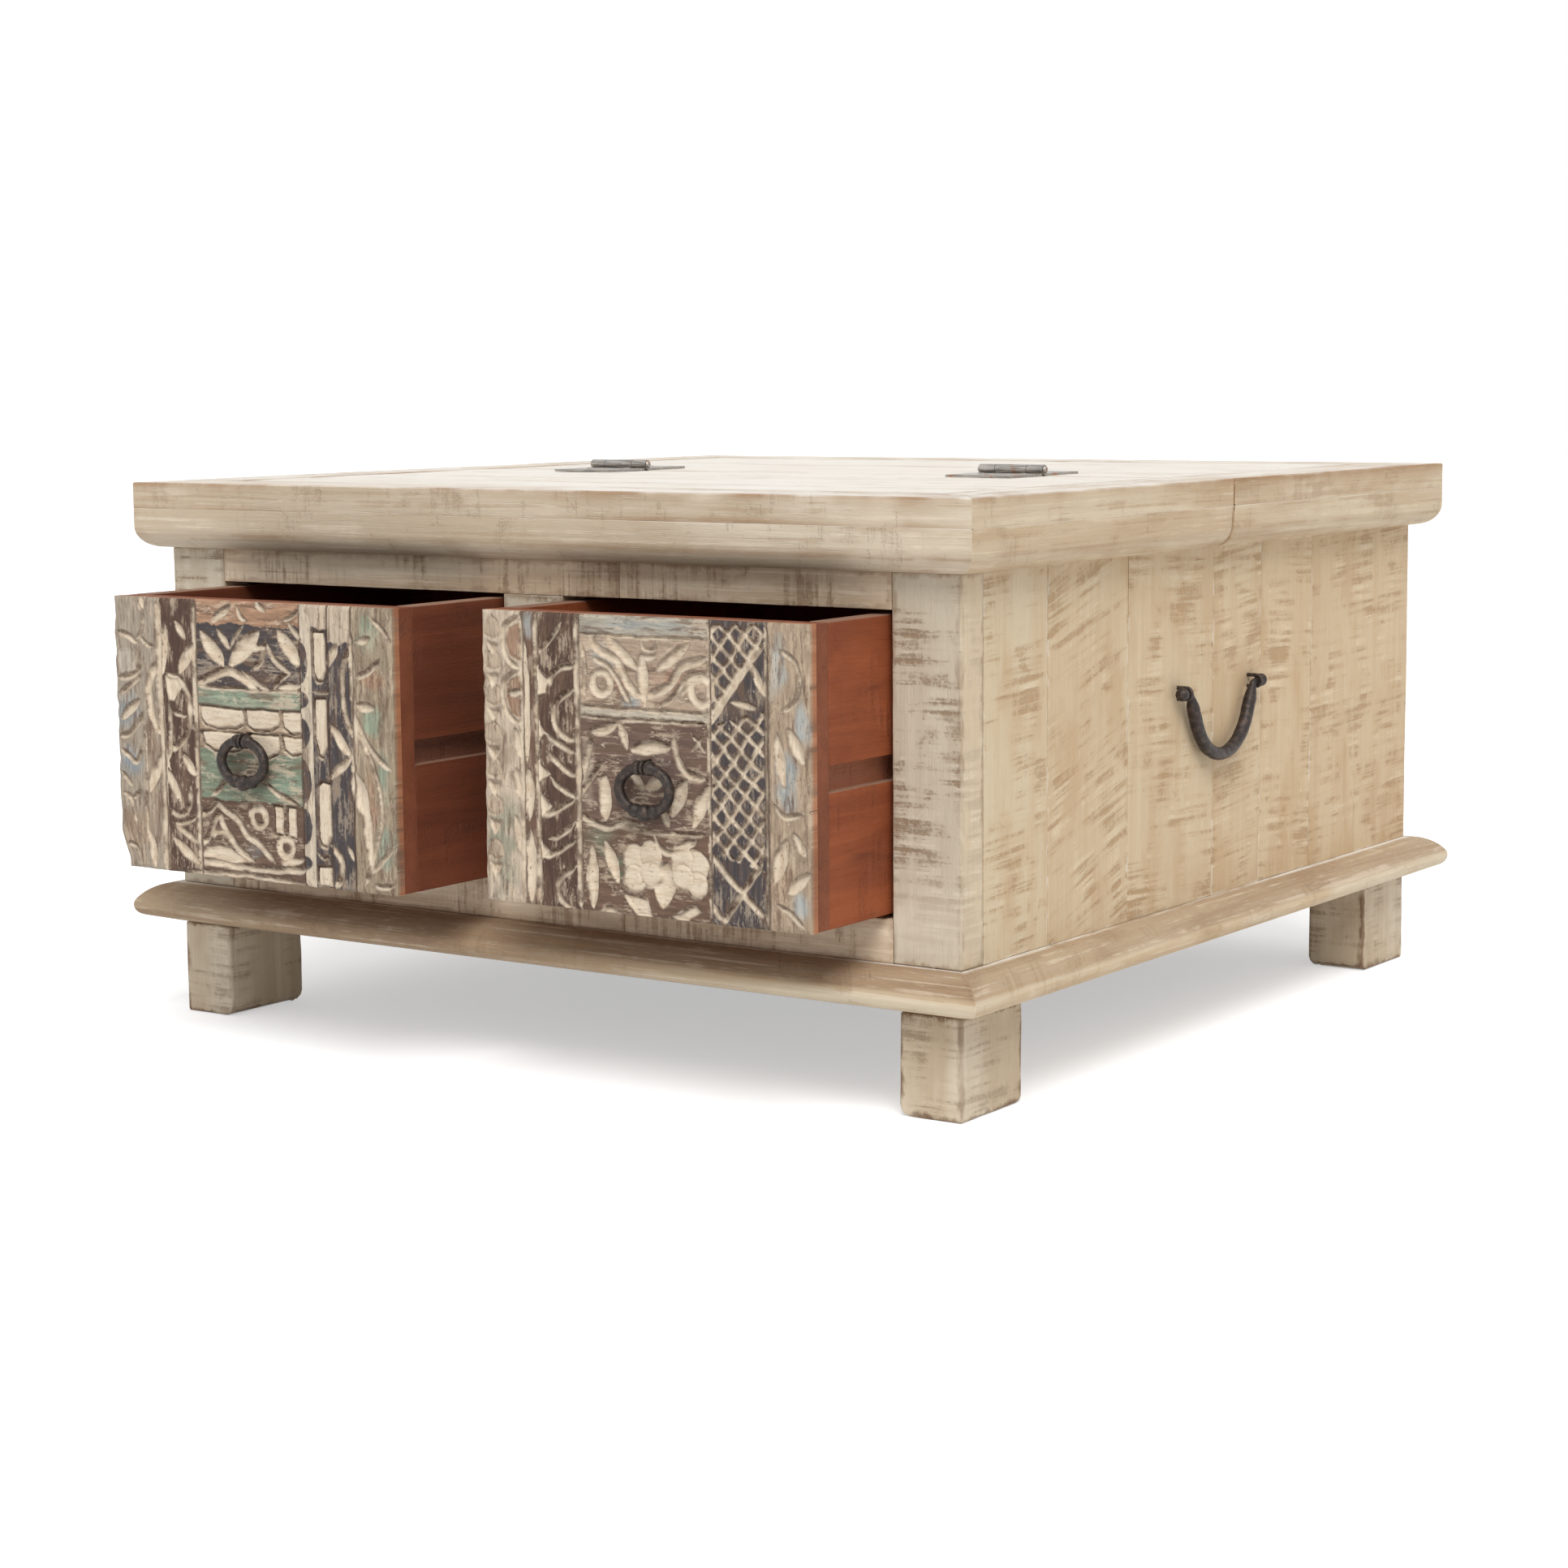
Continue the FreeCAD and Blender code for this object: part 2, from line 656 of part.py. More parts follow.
def staple(name, radius, wire, leg, x, y, z, turn=FreeCAD.Rotation()):
    """A wire staple round a pin along its own X, its bend towards -Y and its legs towards +Y."""
    bend_turn = FreeCAD.Rotation(UP, FreeCAD.Vector(0, -1, 0), FreeCAD.Vector(1, 0, 0), "ZXY")
    sizes = {"Radius1": radius, "Radius2": f"{wire} / 2", "Angle3": "180 deg"}
    parts = [place(primitive("Part::Torus", f"{name}_bend", **sizes), "0", "0", "0", bend_turn)]
    for level in (-1, 1):
        bar = primitive("Part::Cylinder", f"{name}_leg", Radius=f"{wire} / 2", Height=leg)
        parts.append(place(bar, "0", "0", f"{level} * {radius}", ALONG_Y))
    return place(joined(name, parts), x, y, z, turn)


def oval_hoop(name, half_width, half_height, side_radius, wire):
    """A round wire bent to a flat oval of four arcs, and the radius of its two broad arcs."""
    reach = f"({half_width} - {side_radius})"
    climb = f"({half_height} - {side_radius})"
    drop = f"(({reach} * {reach} - {climb} * {climb}) / (2 * {climb}))"
    broad = f"({drop} + {half_height})"
    turn = f"atan({drop} / {reach})"
    arcs = []
    rest = f"(180 deg - {turn})"
    for sign in (-1, 1):
        axis = FreeCAD.Vector(0, 0, -sign)
        side_start, broad_start = (turn, rest) if sign > 0 else (rest, turn)
        for x, y, radius, sweep, start in (
            (f"{sign} * {reach}", "0", side_radius, f"2 * {turn}", side_start),
            ("0", f"{sign} * {drop}", broad, f"180 deg - 2 * {turn}", broad_start),
        ):
            sizes = {"Radius1": radius, "Radius2": f"{wire} / 2", "Angle3": sweep}
            arc = primitive("Part::Torus", f"{name}_arc", **sizes)
            place(arc, x, y, "0", FreeCAD.Rotation(axis, value(start)))
            arc.setExpression("Placement.Rotation.Angle", tied(start))
            arcs.append(arc)
    return arcs, broad


def ring(name, x, y, z):
    """A forged oval ring hanging from its neck, with bulbs beside the neck and beads at the bottom."""
    oval = ("ring_half_width", "ring_half_height", "ring_side_radius", "ring_wire")
    parts, broad = oval_hoop(name, *oval)
    bead = primitive("Part::Sphere", f"{name}_bead", Radius="ring_bead / 2")
    parts.append(place(bead, "0", "-ring_half_height", "0", ALONG_X))
    for side in (LEFT, RIGHT):
        for word, spread, ball, level in (
            ("bulb", "ring_bulb_spread", "ring_bulb", 1),
            ("side_bead", "ring_bead_spread", "ring_side_bead", -1),
        ):
            curve = f"({broad} - sqrt({broad} * {broad} - {spread} * {spread}))"
            knob = primitive("Part::Sphere", f"{name}_{word}", Radius=f"{ball} / 2")
            height = f"{level} * (ring_half_height - {curve})"
            parts.append(place(knob, f"{side} * {spread}", height, "0", ALONG_X))
    room = primitive("Part::Cylinder", f"{name}_room", Radius="ring_bulb", Height="ring_neck_length")
    core = primitive("Part::Cylinder", f"{name}_core", Radius="ring_neck / 2", Height="ring_neck_length")
    for bar in (room, core):
        place(bar, "-ring_neck_length / 2", "ring_half_height", "0", ALONG_X)
    forging = less(name, joined(f"{name}_forging", parts), less(f"{name}_groove", room, core))
    upright = FreeCAD.Rotation(FreeCAD.Vector(1, 0, 0), 90)
    return keep(name, place(forging, x, y, f"{z} - ring_half_height", upright))


def drawer(side_name, side, pull, offset, left_widths, right_widths, panel_heights):
    """A drawer box on grooved sides, its carved facing of reclaimed blocks, and its ring pull."""
    prefix = f"drawer_{side_name}"
    middle = f"({side} * {DRAWER_MIDDLE_X})"
    left, right = f"({middle} - {DRAWER_HALF_X})", f"({middle} + {DRAWER_HALF_X})"
    face = f"(-{BODY_Y} - {pull})"
    front = f"({face} + facing_thickness)"
    box_start = f"({face} + {DRAWER_FRONT_DEPTH})"
    box_end = f"({face} + drawer_depth)"
    pull_x = f"({middle} + {offset})"
    pull_y = f"({face} - ring_standoff)"
    pull_z = f"({DRAWER_Z} + ring_raise)"

    def leg_holes(name):
        holes = []
        for level in (-1, 1):
            hole = primitive(
                "Part::Cylinder",
                f"{name}_hole",
                Radius="ring_staple_wire / 2 + staple_hole_clearance",
                Height="ring_staple_depth + staple_hole_clearance",
            )
            z = f"{pull_z} + {level} * {RING_STAPLE_RADIUS}"
            holes.append(place(hole, pull_x, face, z, ALONG_Y))
        return group(f"{name}_holes", holes)

    name = f"{prefix}_facing"
    xs = [left]
    for width in left_widths:
        xs.append(f"({xs[-1]} + {width})")
    ends = [right]
    for width in right_widths:
        ends.append(f"({ends[-1]} - {width})")
    xs += reversed(ends)
    zs = [DRAWER_TOP]
    for height in panel_heights:
        zs.append(f"({zs[-1]} - {height})")
    zs.append(DRAWER_Z)
    blocks = []
    for column, span in enumerate(zip(xs, xs[1:])):
        in_panel = column == len(left_widths)
        rows = list(zip(zs[1:], zs)) if in_panel else [(DRAWER_Z, DRAWER_TOP)]
        blocks += [board(f"{name}_block", span, (face, front), levels) for levels in rows]
    keep(name, less(name, group(f"{name}_blocks", blocks), leg_holes(name)))

    name = f"{prefix}_front"
    inner = f"({DRAWER_HALF_X} - drawer_side_thickness)"
    grooved = body(f"{name}_board")
    pad(grooved, "XZ", rectangle(left, DRAWER_Z, right, DRAWER_TOP), front, box_start)
    reach = f"({inner} + drawer_bottom_groove)"
    groove = (f"{PANEL_Z} - panel_clearance", f"{PANEL_TOP} + panel_clearance")
    slot = rectangle(f"{middle} - {reach}", groove[0], f"{middle} + {reach}", groove[1])
    pocket(grooved, "XZ", slot, f"{box_start} - drawer_bottom_groove", box_start)
    keep(name, less(name, grooved, leg_holes(name)))

    for end_name, end in SIDES.items():
        name = f"{prefix}_side_{end_name}"
        solid = body(name)
        outer_x = f"{middle} + {end} * {DRAWER_HALF_X}"
        inner_x = f"{middle} + {end} * {inner}"
        runner_x = f"{middle} + {end} * ({DRAWER_HALF_X} - runner_groove_depth)"
        panel_x = f"{middle} + {end} * {reach}"
        section = [
            Corner(inner_x, DRAWER_Z),
            Corner(outer_x, DRAWER_Z),
            Corner(outer_x, GROOVE_Z),
            Corner(runner_x, GROOVE_Z),
            Corner(runner_x, GROOVE_TOP),
            Corner(outer_x, GROOVE_TOP),
            Corner(outer_x, DRAWER_TOP),
            Corner(inner_x, DRAWER_TOP),
            Corner(inner_x, groove[1]),
            Corner(panel_x, groove[1]),
            Corner(panel_x, groove[0]),
            Corner(inner_x, groove[0]),
        ]
        pad(solid, "XZ", section, box_start, box_end)
        keep(name, solid)

    name = f"{prefix}_back"
    inside = (f"{middle} - {inner}", f"{middle} + {inner}")
    heights = (f"{PANEL_TOP} + panel_clearance", f"{DRAWER_TOP} - drawer_back_drop")
    keep(name, board(name, inside, (f"{box_end} - drawer_back_thickness", box_end), heights))
    name = f"{prefix}_bottom"
    panel = f"({reach} - panel_clearance)"
    panel_start = f"{box_start} - drawer_bottom_groove + panel_clearance"
    panel_xs = (f"{middle} - {panel}", f"{middle} + {panel}")
    keep(name, board(name, panel_xs, (panel_start, box_end), (PANEL_Z, PANEL_TOP)))

    name = f"{prefix}_staple"
    leg = "ring_standoff + ring_staple_depth"
    keep(name, staple(name, RING_STAPLE_RADIUS, "ring_staple_wire", leg, pull_x, pull_y, pull_z))
    ring(f"{prefix}_ring", pull_x, pull_y, pull_z)


def handle(side_name, side):
    """A drop bail: two tapered arms into a round bend, ball-tipped pins turned out through staples."""
    prefix = f"handle_{side_name}"
    turn = FreeCAD.Rotation(UP, side * 90)
    x = f"{side} * ({BODY_X} + bail_standoff)"
    centre = "(bail_drop - bail_bend_radius)"
    half = "(bail_span / 2)"
    reach = f"sqrt({half} * {half} + {centre} * {centre})"
    lean = f"(acos(bail_bend_radius / {reach}) - atan({centre} / {half}))"
    length = f"sqrt({reach} * {reach} - bail_bend_radius * bail_bend_radius)"

    bend = body(f"{prefix}_bend")
    round_wire = bend.newObject("PartDesign::Revolution", f"{prefix}_bend_turn")
    section = profile(bend, "YZ", Disc("0", "-bail_bend_radius", "bail_wire / 2"), shift=f"-{centre}")
    round_wire.Profile = section
    round_wire.ReferenceAxis = (section, ["H_Axis"])
    round_wire.Midplane = True
    round_wire.setExpression("Angle", tied(f"180 deg - 2 * {lean}"))
    parts = [bend]
    for end in (LEFT, RIGHT):
        arm = primitive(
            "Part::Cone",
            f"{prefix}_arm",
            Radius1="bail_wire / 2",
            Radius2="bail_end_wire / 2",
            Height=length,
        )
        foot_x = f"{end} * bail_bend_radius * cos({lean})"
        foot_z = f"-{centre} - bail_bend_radius * sin({lean})"
        lean_axis = FreeCAD.Rotation(FreeCAD.Vector(0, end, 0), value(lean))
        place(arm, foot_x, "0", foot_z, lean_axis)
        arm.setExpression("Placement.Rotation.Angle", tied(lean))
        parts.append(arm)
        elbow = primitive("Part::Sphere", f"{prefix}_elbow", Radius="bail_elbow / 2")
        parts.append(place(elbow, f"{end} * {half}", "0", "0"))
        pin_length = f"{BAIL_BALL_X} - {half}"
        pin = primitive("Part::Cylinder", f"{prefix}_pin", Radius="bail_pin / 2", Height=pin_length)
        out = FreeCAD.Rotation(UP, FreeCAD.Vector(end, 0, 0))
        parts.append(place(pin, f"{end} * {half}", "0", "0", out))
        ball = primitive("Part::Sphere", f"{prefix}_ball", Radius="bail_ball / 2")
        parts.append(place(ball, f"{end} * {BAIL_BALL_X}", "0", "0"))
    name = f"{prefix}_bail"
    keep(name, place(joined(name, parts), x, "bail_setback", BAIL_Z, turn))

    name = f"{prefix}_staples"
    leg = "bail_standoff + bail_staple_depth"
    pair = []
    for end in (-1, 1):
        y = f"bail_setback + {end} * {BAIL_STAPLE_X}"
        wire = (BAIL_STAPLE_RADIUS, "bail_staple_wire", leg)
        pair.append(staple(f"{name}_wire", *wire, x, y, BAIL_Z, turn))
    keep(name, group(name, pair))


def fixed_leaf(name, x):
    """The front leaf of a hinge with its one middle knuckle."""
    solid = body(name)
    back = f"{HINGE_Y} - hinge_barrel / 2 - knuckle_gap"
    wide, narrow = "leaf_width / 2", "knuckle_middle / 2"
    plan = [
        Corner(f"{x} - {wide}", f"{HINGE_Y} - leaf_length"),
        Corner(f"{x} + {wide}", f"{HINGE_Y} - leaf_length"),
        Corner(f"{x} + {wide}", back),
        Corner(f"{x} + {narrow}", back),
        Corner(f"{x} + {narrow}", HINGE_Y),
        Corner(f"{x} - {narrow}", HINGE_Y),
        Corner(f"{x} - {narrow}", back),
        Corner(f"{x} - {wide}", back),
    ]
    pad(solid, "XY", plan, TOP_Z, f"{TOP_Z} + leaf_thickness")
    span = (f"{x} - {narrow}", f"{x} + {narrow}")
    pad(solid, "YZ", Disc(HINGE_Y, HINGE_Z, "hinge_barrel / 2"), *span)
    pocket(solid, "YZ", Disc(HINGE_Y, HINGE_Z, "hinge_pin / 2 + hinge_pin_clearance"), *span)
    return solid


def lid_leaf(name, x):
    """The rear leaf of a hinge with its two outer knuckles."""
    solid = body(name)
    front = f"{HINGE_Y} + hinge_barrel / 2 + knuckle_gap"
    back = f"{HINGE_Y} + leaf_length"
    wide, narrow = "leaf_width / 2", "(knuckle_middle / 2 + knuckle_gap)"
    plan = [
        Corner(f"{x} + {wide}", back),
        Corner(f"{x} - {wide}", back),
        Corner(f"{x} - {wide}", HINGE_Y),
        Corner(f"{x} - {narrow}", HINGE_Y),
        Corner(f"{x} - {narrow}", front),
        Corner(f"{x} + {narrow}", front),
        Corner(f"{x} + {narrow}", HINGE_Y),
        Corner(f"{x} + {wide}", HINGE_Y),
    ]
    pad(solid, "XY", plan, TOP_Z, f"{TOP_Z} + leaf_thickness")
    for span in ((f"{x} - {wide}", f"{x} - {narrow}"), (f"{x} + {narrow}", f"{x} + {wide}")):
        pad(solid, "YZ", Disc(HINGE_Y, HINGE_Z, "hinge_barrel / 2"), *span)
    hole = Disc(HINGE_Y, HINGE_Z, "hinge_pin / 2 + hinge_pin_clearance")
    pocket(solid, "YZ", hole, f"{x} - {wide}", f"{x} + {wide}")
    return solid


def hinge_pin(name, x):
    """A pin through a hinge's knuckles, its two ends spread into low heads."""
    half = "(leaf_width / 2 + knuckle_gap)"
    bar = primitive("Part::Cylinder", f"{name}_bar", Radius="hinge_pin / 2", Height=f"2 * {half}")
    parts = [place(bar, f"{x} - {half}", HINGE_Y, HINGE_Z, ALONG_X)]
    for end in (LEFT, RIGHT):
        head = primitive(
            "Part::Cone",
            f"{name}_head",
            Radius1="hinge_pin_head / 2",
            Radius2="hinge_pin / 2",
            Height="hinge_pin_head_height",
        )
        out = FreeCAD.Rotation(UP, FreeCAD.Vector(end, 0, 0))
        parts.append(place(head, f"{x} + {end} * {half}", HINGE_Y, HINGE_Z, out))
    return joined(name, parts)


def hinges():
    """Two butt hinges lying on the top across the joint, barrels standing up."""
    makers = {
        "hinge_fixed_leaves": fixed_leaf,
        "hinge_lid_leaves": lid_leaf,
        "hinge_pins": hinge_pin,
    }
    for name, make in makers.items():
        pair = []
        for side_name, side in SIDES.items():
            pair.append(make(f"{name}_{side_name}", f"{side} * hinge_spread / 2"))
        keep(name, group(name, pair))


def failures():
    """Every object that failed to build, cut that removed nothing and shape that isn't sound."""
    found = [thing.Name for thing in doc.Objects if {"Invalid", "Error"} & set(thing.State)]
    for cut in cuts:
        base = cut.Base if cut.isDerivedFrom("Part::Cut") else cut.BaseFeature
        if cut.Shape.Volume >= base.Shape.Volume - 1e-6:
            found.append(f"{cut.Name} cuts nothing")
    found += [node.Label for node in nodes if node.Shape.isNull() or not node.Shape.isValid()]
    return found


feet()
base()
floor_and_panels()
face_frame()
walls()
half_top("fixed_top", FRONT, "front", FIXED_END_Y)
half_top("lid", BACK, "back", LID_START_Y)
battens()
for side_word, side_sign in SIDES.items():
    runners(f"drawer_runners_{side_word}", side_sign)
    handle(side_word, side_sign)
drawer(
    "left",
    LEFT,
    "left_drawer_pull",
    "left_ring_offset",
    ["left_block_one_width", "left_block_two_width"],
    ["left_block_six_width", "left_block_five_width", "left_block_four_width"],
    ["left_strip_height", "left_leaf_panel_height", "left_scale_panel_height"],
)
drawer(
    "right",
    RIGHT,
    "right_drawer_pull",
    "right_ring_offset",
    ["right_block_one_width", "right_block_two_width"],
    ["right_block_five_width", "right_block_four_width"],
    ["right_strip_height", "right_rosette_panel_height"],
)
hinges()
doc.recompute()

problems = failures()
if problems:
    raise RuntimeError(f"not built: {problems}")
os.makedirs("parts", exist_ok=True)
for node in nodes:
    node.Shape.exportStep(f"parts/{node.Label}.step")
print(f"{len(nodes)} nodes, {sum(len(node.Shape.Solids) for node in nodes)} solids")
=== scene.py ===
"""Dresses the storage trunk: limed boards, carved facings, forged pulls, and the studio around it."""

import itertools
import logging
import math
from dataclasses import dataclass, field, replace
from enum import Enum

import bmesh
import bpy
import numpy as np
from mathutils import Matrix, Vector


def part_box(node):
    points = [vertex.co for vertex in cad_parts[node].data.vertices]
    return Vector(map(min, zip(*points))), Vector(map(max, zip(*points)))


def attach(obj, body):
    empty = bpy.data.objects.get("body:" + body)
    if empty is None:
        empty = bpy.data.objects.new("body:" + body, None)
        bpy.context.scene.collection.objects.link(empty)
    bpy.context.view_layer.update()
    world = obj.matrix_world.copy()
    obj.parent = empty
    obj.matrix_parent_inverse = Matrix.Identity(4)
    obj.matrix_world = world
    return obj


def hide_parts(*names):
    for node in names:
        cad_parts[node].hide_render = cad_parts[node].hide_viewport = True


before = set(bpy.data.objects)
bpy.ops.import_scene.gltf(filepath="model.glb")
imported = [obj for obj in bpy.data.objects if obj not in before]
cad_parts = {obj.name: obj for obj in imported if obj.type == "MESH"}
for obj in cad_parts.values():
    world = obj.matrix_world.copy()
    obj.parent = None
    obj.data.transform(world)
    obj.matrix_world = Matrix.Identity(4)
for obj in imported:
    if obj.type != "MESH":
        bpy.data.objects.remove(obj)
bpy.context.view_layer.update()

log = logging.getLogger("trunk")

MM = 0.001
TINY = 1e-9
SHARP_FROM = math.radians(48.0)
HASH_STEPS = np.array([374761393, 668265263, 1440662683])
HASH_MIX = 1274126177
HASH_MASK = 0xFFFFFFFF
SEED_STEP = 3

Array = np.ndarray
Row = tuple[float, ...]
Colour = tuple[float, float, float]
Point2 = tuple[float, float]
Point3 = tuple[float, float, float]
Region = tuple[float, float, float, float]
Span = tuple[float, float]
Outline = tuple[Point2, ...]
Corners = tuple[Point3, Point3]


class Axis(Enum):
    """The frame's axes, by their place in a point."""

    X = 0
    Y = 1
    Z = 2


class Side(Enum):
    """The two sides of the trunk, with the sign of X on each."""

    LEFT = -1
    RIGHT = 1

    @property
    def word(self) -> str:
        """The side's word as the part names use it."""
        return self.name.lower()


def corners_of(node: str) -> tuple[Array, Array]:
    """The lowest and the highest corner of a node's box, in millimetres."""
    low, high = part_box(node)
    return np.array(low) / MM, np.array(high) / MM


def ease(share: Array) -> Array:
    """A smooth step from 0 to 1 over the same range."""
    share = np.clip(share, 0.0, 1.0)
    return share * share * (3.0 - 2.0 * share)


def lattice_noise(points: Array, cell: float, seed: int) -> Array:
    """Smooth repeatable noise over points in space.

    Args:
        points: Rows of x, y, z in millimetres.
        cell: Size of one lump in millimetres.
        seed: Picks the pattern.

    Returns:
        One value from -1 to 1 for each point.
    """
    place = points / cell + 13.7 * (seed % 97)
    base = np.floor(place).astype(np.int64)
    share = ease(place - base)
    total = np.zeros(len(points))
    for corner in itertools.product((0, 1), repeat=3):
        mixed = ((base + np.array(corner)) @ HASH_STEPS + seed * HASH_MIX) & HASH_MASK
        mixed = ((mixed ^ (mixed >> 13)) * HASH_MIX) & HASH_MASK
        value = (mixed ^ (mixed >> 16)) / 0x7FFFFFFF - 1.0
        total += value * np.prod(np.where(corner, share, 1.0 - share), axis=1)
    return total


def arc_points(centre: Point2, radius: float, start: float, end: float, count: int) -> list[Point2]:
    """Points along an arc between two angles in degrees, both ends included."""
    turns = np.radians(np.linspace(start, end, count))
    return [(centre[0] + radius * math.cos(t), centre[1] + radius * math.sin(t)) for t in turns]


def unit(ways: Array) -> Array:
    """Directions brought to a length of one."""
    return ways / np.maximum(np.linalg.norm(ways, axis=1, keepdims=True), TINY)


@dataclass
class Draft:
    """A mesh in the making: points in millimetres, faces, and the values that its finish reads."""

    points: Array
    faces: list[list[int]]
    values: dict[str, Array] = field(default_factory=dict)

    @staticmethod
    def join(drafts: list["Draft"]) -> "Draft":
        """Sets several drafts side by side as one.

        Args:
            drafts: Drafts that carry the same values.

        Returns:
            One draft with all their points and faces.
        """
        faces: list[list[int]] = []
        start = 0
        for draft in drafts:
            faces += [[start + corner for corner in face] for face in draft.faces]
            start += len(draft.points)
        values = {key: np.concatenate([d.values[key] for d in drafts]) for key in drafts[0].values}
        return Draft(np.concatenate([d.points for d in drafts]), faces, values)

    def fill(self, key: str, value: float) -> "Draft":
        """Gives every point the same value."""
        self.values[key] = np.full(len(self.points), value)
        return self

    def raise_to(self, key: str, least: Array) -> None:
        """Raises a value to a least amount at each point."""
        self.values[key] = np.maximum(self.values[key], least)

    def mesh(self, name: str) -> bpy.types.Mesh:
        """Makes the mesh with its values and its sharp edges.

        Args:
            name: Name of the mesh.

        Returns:
            The mesh, its faces turned outward.
        """
        mesh = bpy.data.meshes.new(name)
        mesh.from_pydata((self.points * MM).tolist(), [], self.faces)
        for key, value in self.values.items():
            kind, entry = ("FLOAT", "value") if value.ndim == 1 else ("FLOAT_VECTOR", "vector")
            layer = mesh.attributes.new(key, kind, "POINT")
            layer.data.foreach_set(entry, value.astype(np.float32).ravel())
        work = bmesh.new()
        work.from_mesh(mesh)
        bmesh.ops.recalc_face_normals(work, faces=work.faces)
        work.to_mesh(mesh)
        work.free()
        mesh.shade_smooth()
        mesh.set_sharp_from_angle(angle=SHARP_FROM)
        return mesh

    def piece(self, name: str, finish: bpy.types.Material, body: str, slot: str, *nodes: str) -> None:
        """Makes the object and ties it to the frame.

        Args:
            name: Name of the new piece.
            finish: Its material.
            body: The body that it moves with.
            slot: Name of a material slot; not used.
            nodes: The nodes that it stands for.
        """
        mesh = self.mesh(name)
        mesh.materials.append(finish)
        piece = bpy.data.objects.new(name, mesh)
        bpy.context.scene.collection.objects.link(piece)
        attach(piece, body)
        if nodes:
            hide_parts(*nodes)
        log.info("%s: %d points on %s", name, len(self.points), body)


def stations(length: float, radius: float, step: float) -> Array:
    """Places along a board, close together at its two arrises.

    Args:
        length: Length of the board.
        radius: Radius of its arrises.
        step: Widest spacing between them.

    Returns:
        Rising distances from 0 to the length.
    """
    edge = radius * np.array([0.0, 0.3, 0.65, 1.0, 1.9])
    edge = edge[edge < 0.4 * length]
    inner = length - 2.0 * edge[-1]
    middle = np.linspace(edge[-1], length - edge[-1], max(1, math.ceil(inner / step)) + 1)
    return np.concatenate([edge[:-1], middle, length - edge[-2::-1]]) if len(edge) > 1 else middle


def grid_quads(index: Array) -> Array:
    """The quads between the neighbours of a grid of point numbers."""
    corners = (index[:-1, :-1], index[1:, :-1], index[1:, 1:], index[:-1, 1:])
    return np.stack(corners, axis=-1).reshape(-1, 4)


def tube_faces(count: int, size: int, closed: bool = False) -> list[list[int]]:
    """Faces of a tube of rings, capped at both ends unless it closes on itself.

    Args:
        count: How many rings.
        size: Points in each ring.
        closed: Whether the last ring meets the first.

    Returns:
        The faces.
    """
    index = np.arange(count * size).reshape(count, size)
    caps = [] if closed else [index[0].tolist(), index[-1].tolist()]
    rings = np.vstack([index, index[:1]]) if closed else index
    around = np.hstack([rings, rings[:, :1]])
    return [*caps, *grid_quads(around).tolist()]


def shell(xs: Array, ys: Array, zs: Array) -> tuple[Array, list[list[int]]]:
    """A closed grid over the six faces of a box.

    Args:
        xs: Grid places along X.
        ys: Grid places along Y.
        zs: Grid places along Z.

    Returns:
        The points and the faces.
    """
    counts = np.array([len(xs), len(ys), len(zs)])
    code = np.arange(counts.prod()).reshape(counts)
    sheets = []
    for axis, end in itertools.product(range(3), (0, -1)):
        quads = grid_quads(np.take(code, end, axis=axis))
        sheets.append(quads if end else quads[:, ::-1])
    used, index = np.unique(np.concatenate(sheets), return_inverse=True)
    i, j, k = np.unravel_index(used, counts)
    return np.stack([xs[i], ys[j], zs[k]], axis=1), index.reshape(-1, 4).tolist()


@dataclass(frozen=True)
class Board:
    """A sawn board with hand-worn arrises, its sizes in millimetres."""

    low: Point3
    high: Point3
    grain: Axis
    seed: int
    radius: float = 1.1
    wobble: float = 0.22
    step: float = 14.0
    slant: float = 0.0

    @staticmethod
    def of_node(node: str, grain: Axis, seed: int, **looks: float) -> "Board":
        """A board that fills a node's box."""
        low, high = corners_of(node)
        return Board(tuple(low), tuple(high), grain, seed, **looks)

    def order(self) -> list[int]:
        """Axes in the order along the grain, across it, and through the thickness."""
        size = [h - l for l, h in zip(self.low, self.high)]
        rest = sorted((a for a in range(3) if a != self.grain.value), key=lambda a: -size[a])
        return [self.grain.value, *rest]

    def draft(self) -> Draft:
        """Draws the board with rounded, slightly uneven arrises.

        Returns:
            The draft with its grain, half size, seed, rub, slant and second values.
        """
        low, high = np.array(self.low), np.array(self.high)
        flat, faces = shell(*(l + stations(h - l, self.radius, self.step) for l, h in zip(low, high)))
        order = self.order()
        worn = self.radius * (0.85 + 0.45 * lattice_noise(flat, 17.0, self.seed))
        worn = np.minimum(worn, 0.45 * (high - low).min())[:, None]
        core = np.clip(flat, low + worn, high - worn)
        out = unit(flat - core)
        lumps = lattice_noise(flat, 75.0, self.seed + 5) + 0.4 * lattice_noise(flat, 21.0, self.seed + 9)
        points = core + out * (worn + (self.wobble * (lumps - 0.7))[:, None])
        values = {
            "grain": (flat - (low + high) / 2.0)[:, order] * MM,
            "half": np.tile(((high - low) / 2.0)[order] * MM, (len(flat), 1)),
            "seed": np.full(len(flat), float(self.seed)),
            "rub": np.zeros(len(flat)),
            "slant": np.full(len(flat), math.radians(self.slant)),
            "second": np.abs(out)[:, order[1]],
        }
        return Draft(points, faces, values)


def parted(low: Array, high: Array, along: Axis, cuts: list[float]) -> list[Corners]:
    """Parts a box into a row of boards.

    Args:
        low: Lowest corner of the row.
        high: Highest corner.
        along: The axis along which the boards follow each other.
        cuts: Where they meet.

    Returns:
        The lowest and highest corner of each board.
    """
    boards = []
    for start, end in itertools.pairwise([low[along.value], *cuts, high[along.value]]):
        first, last = low.copy(), high.copy()
        first[along.value], last[along.value] = start, end
        boards.append((tuple(first), tuple(last)))
    return boards


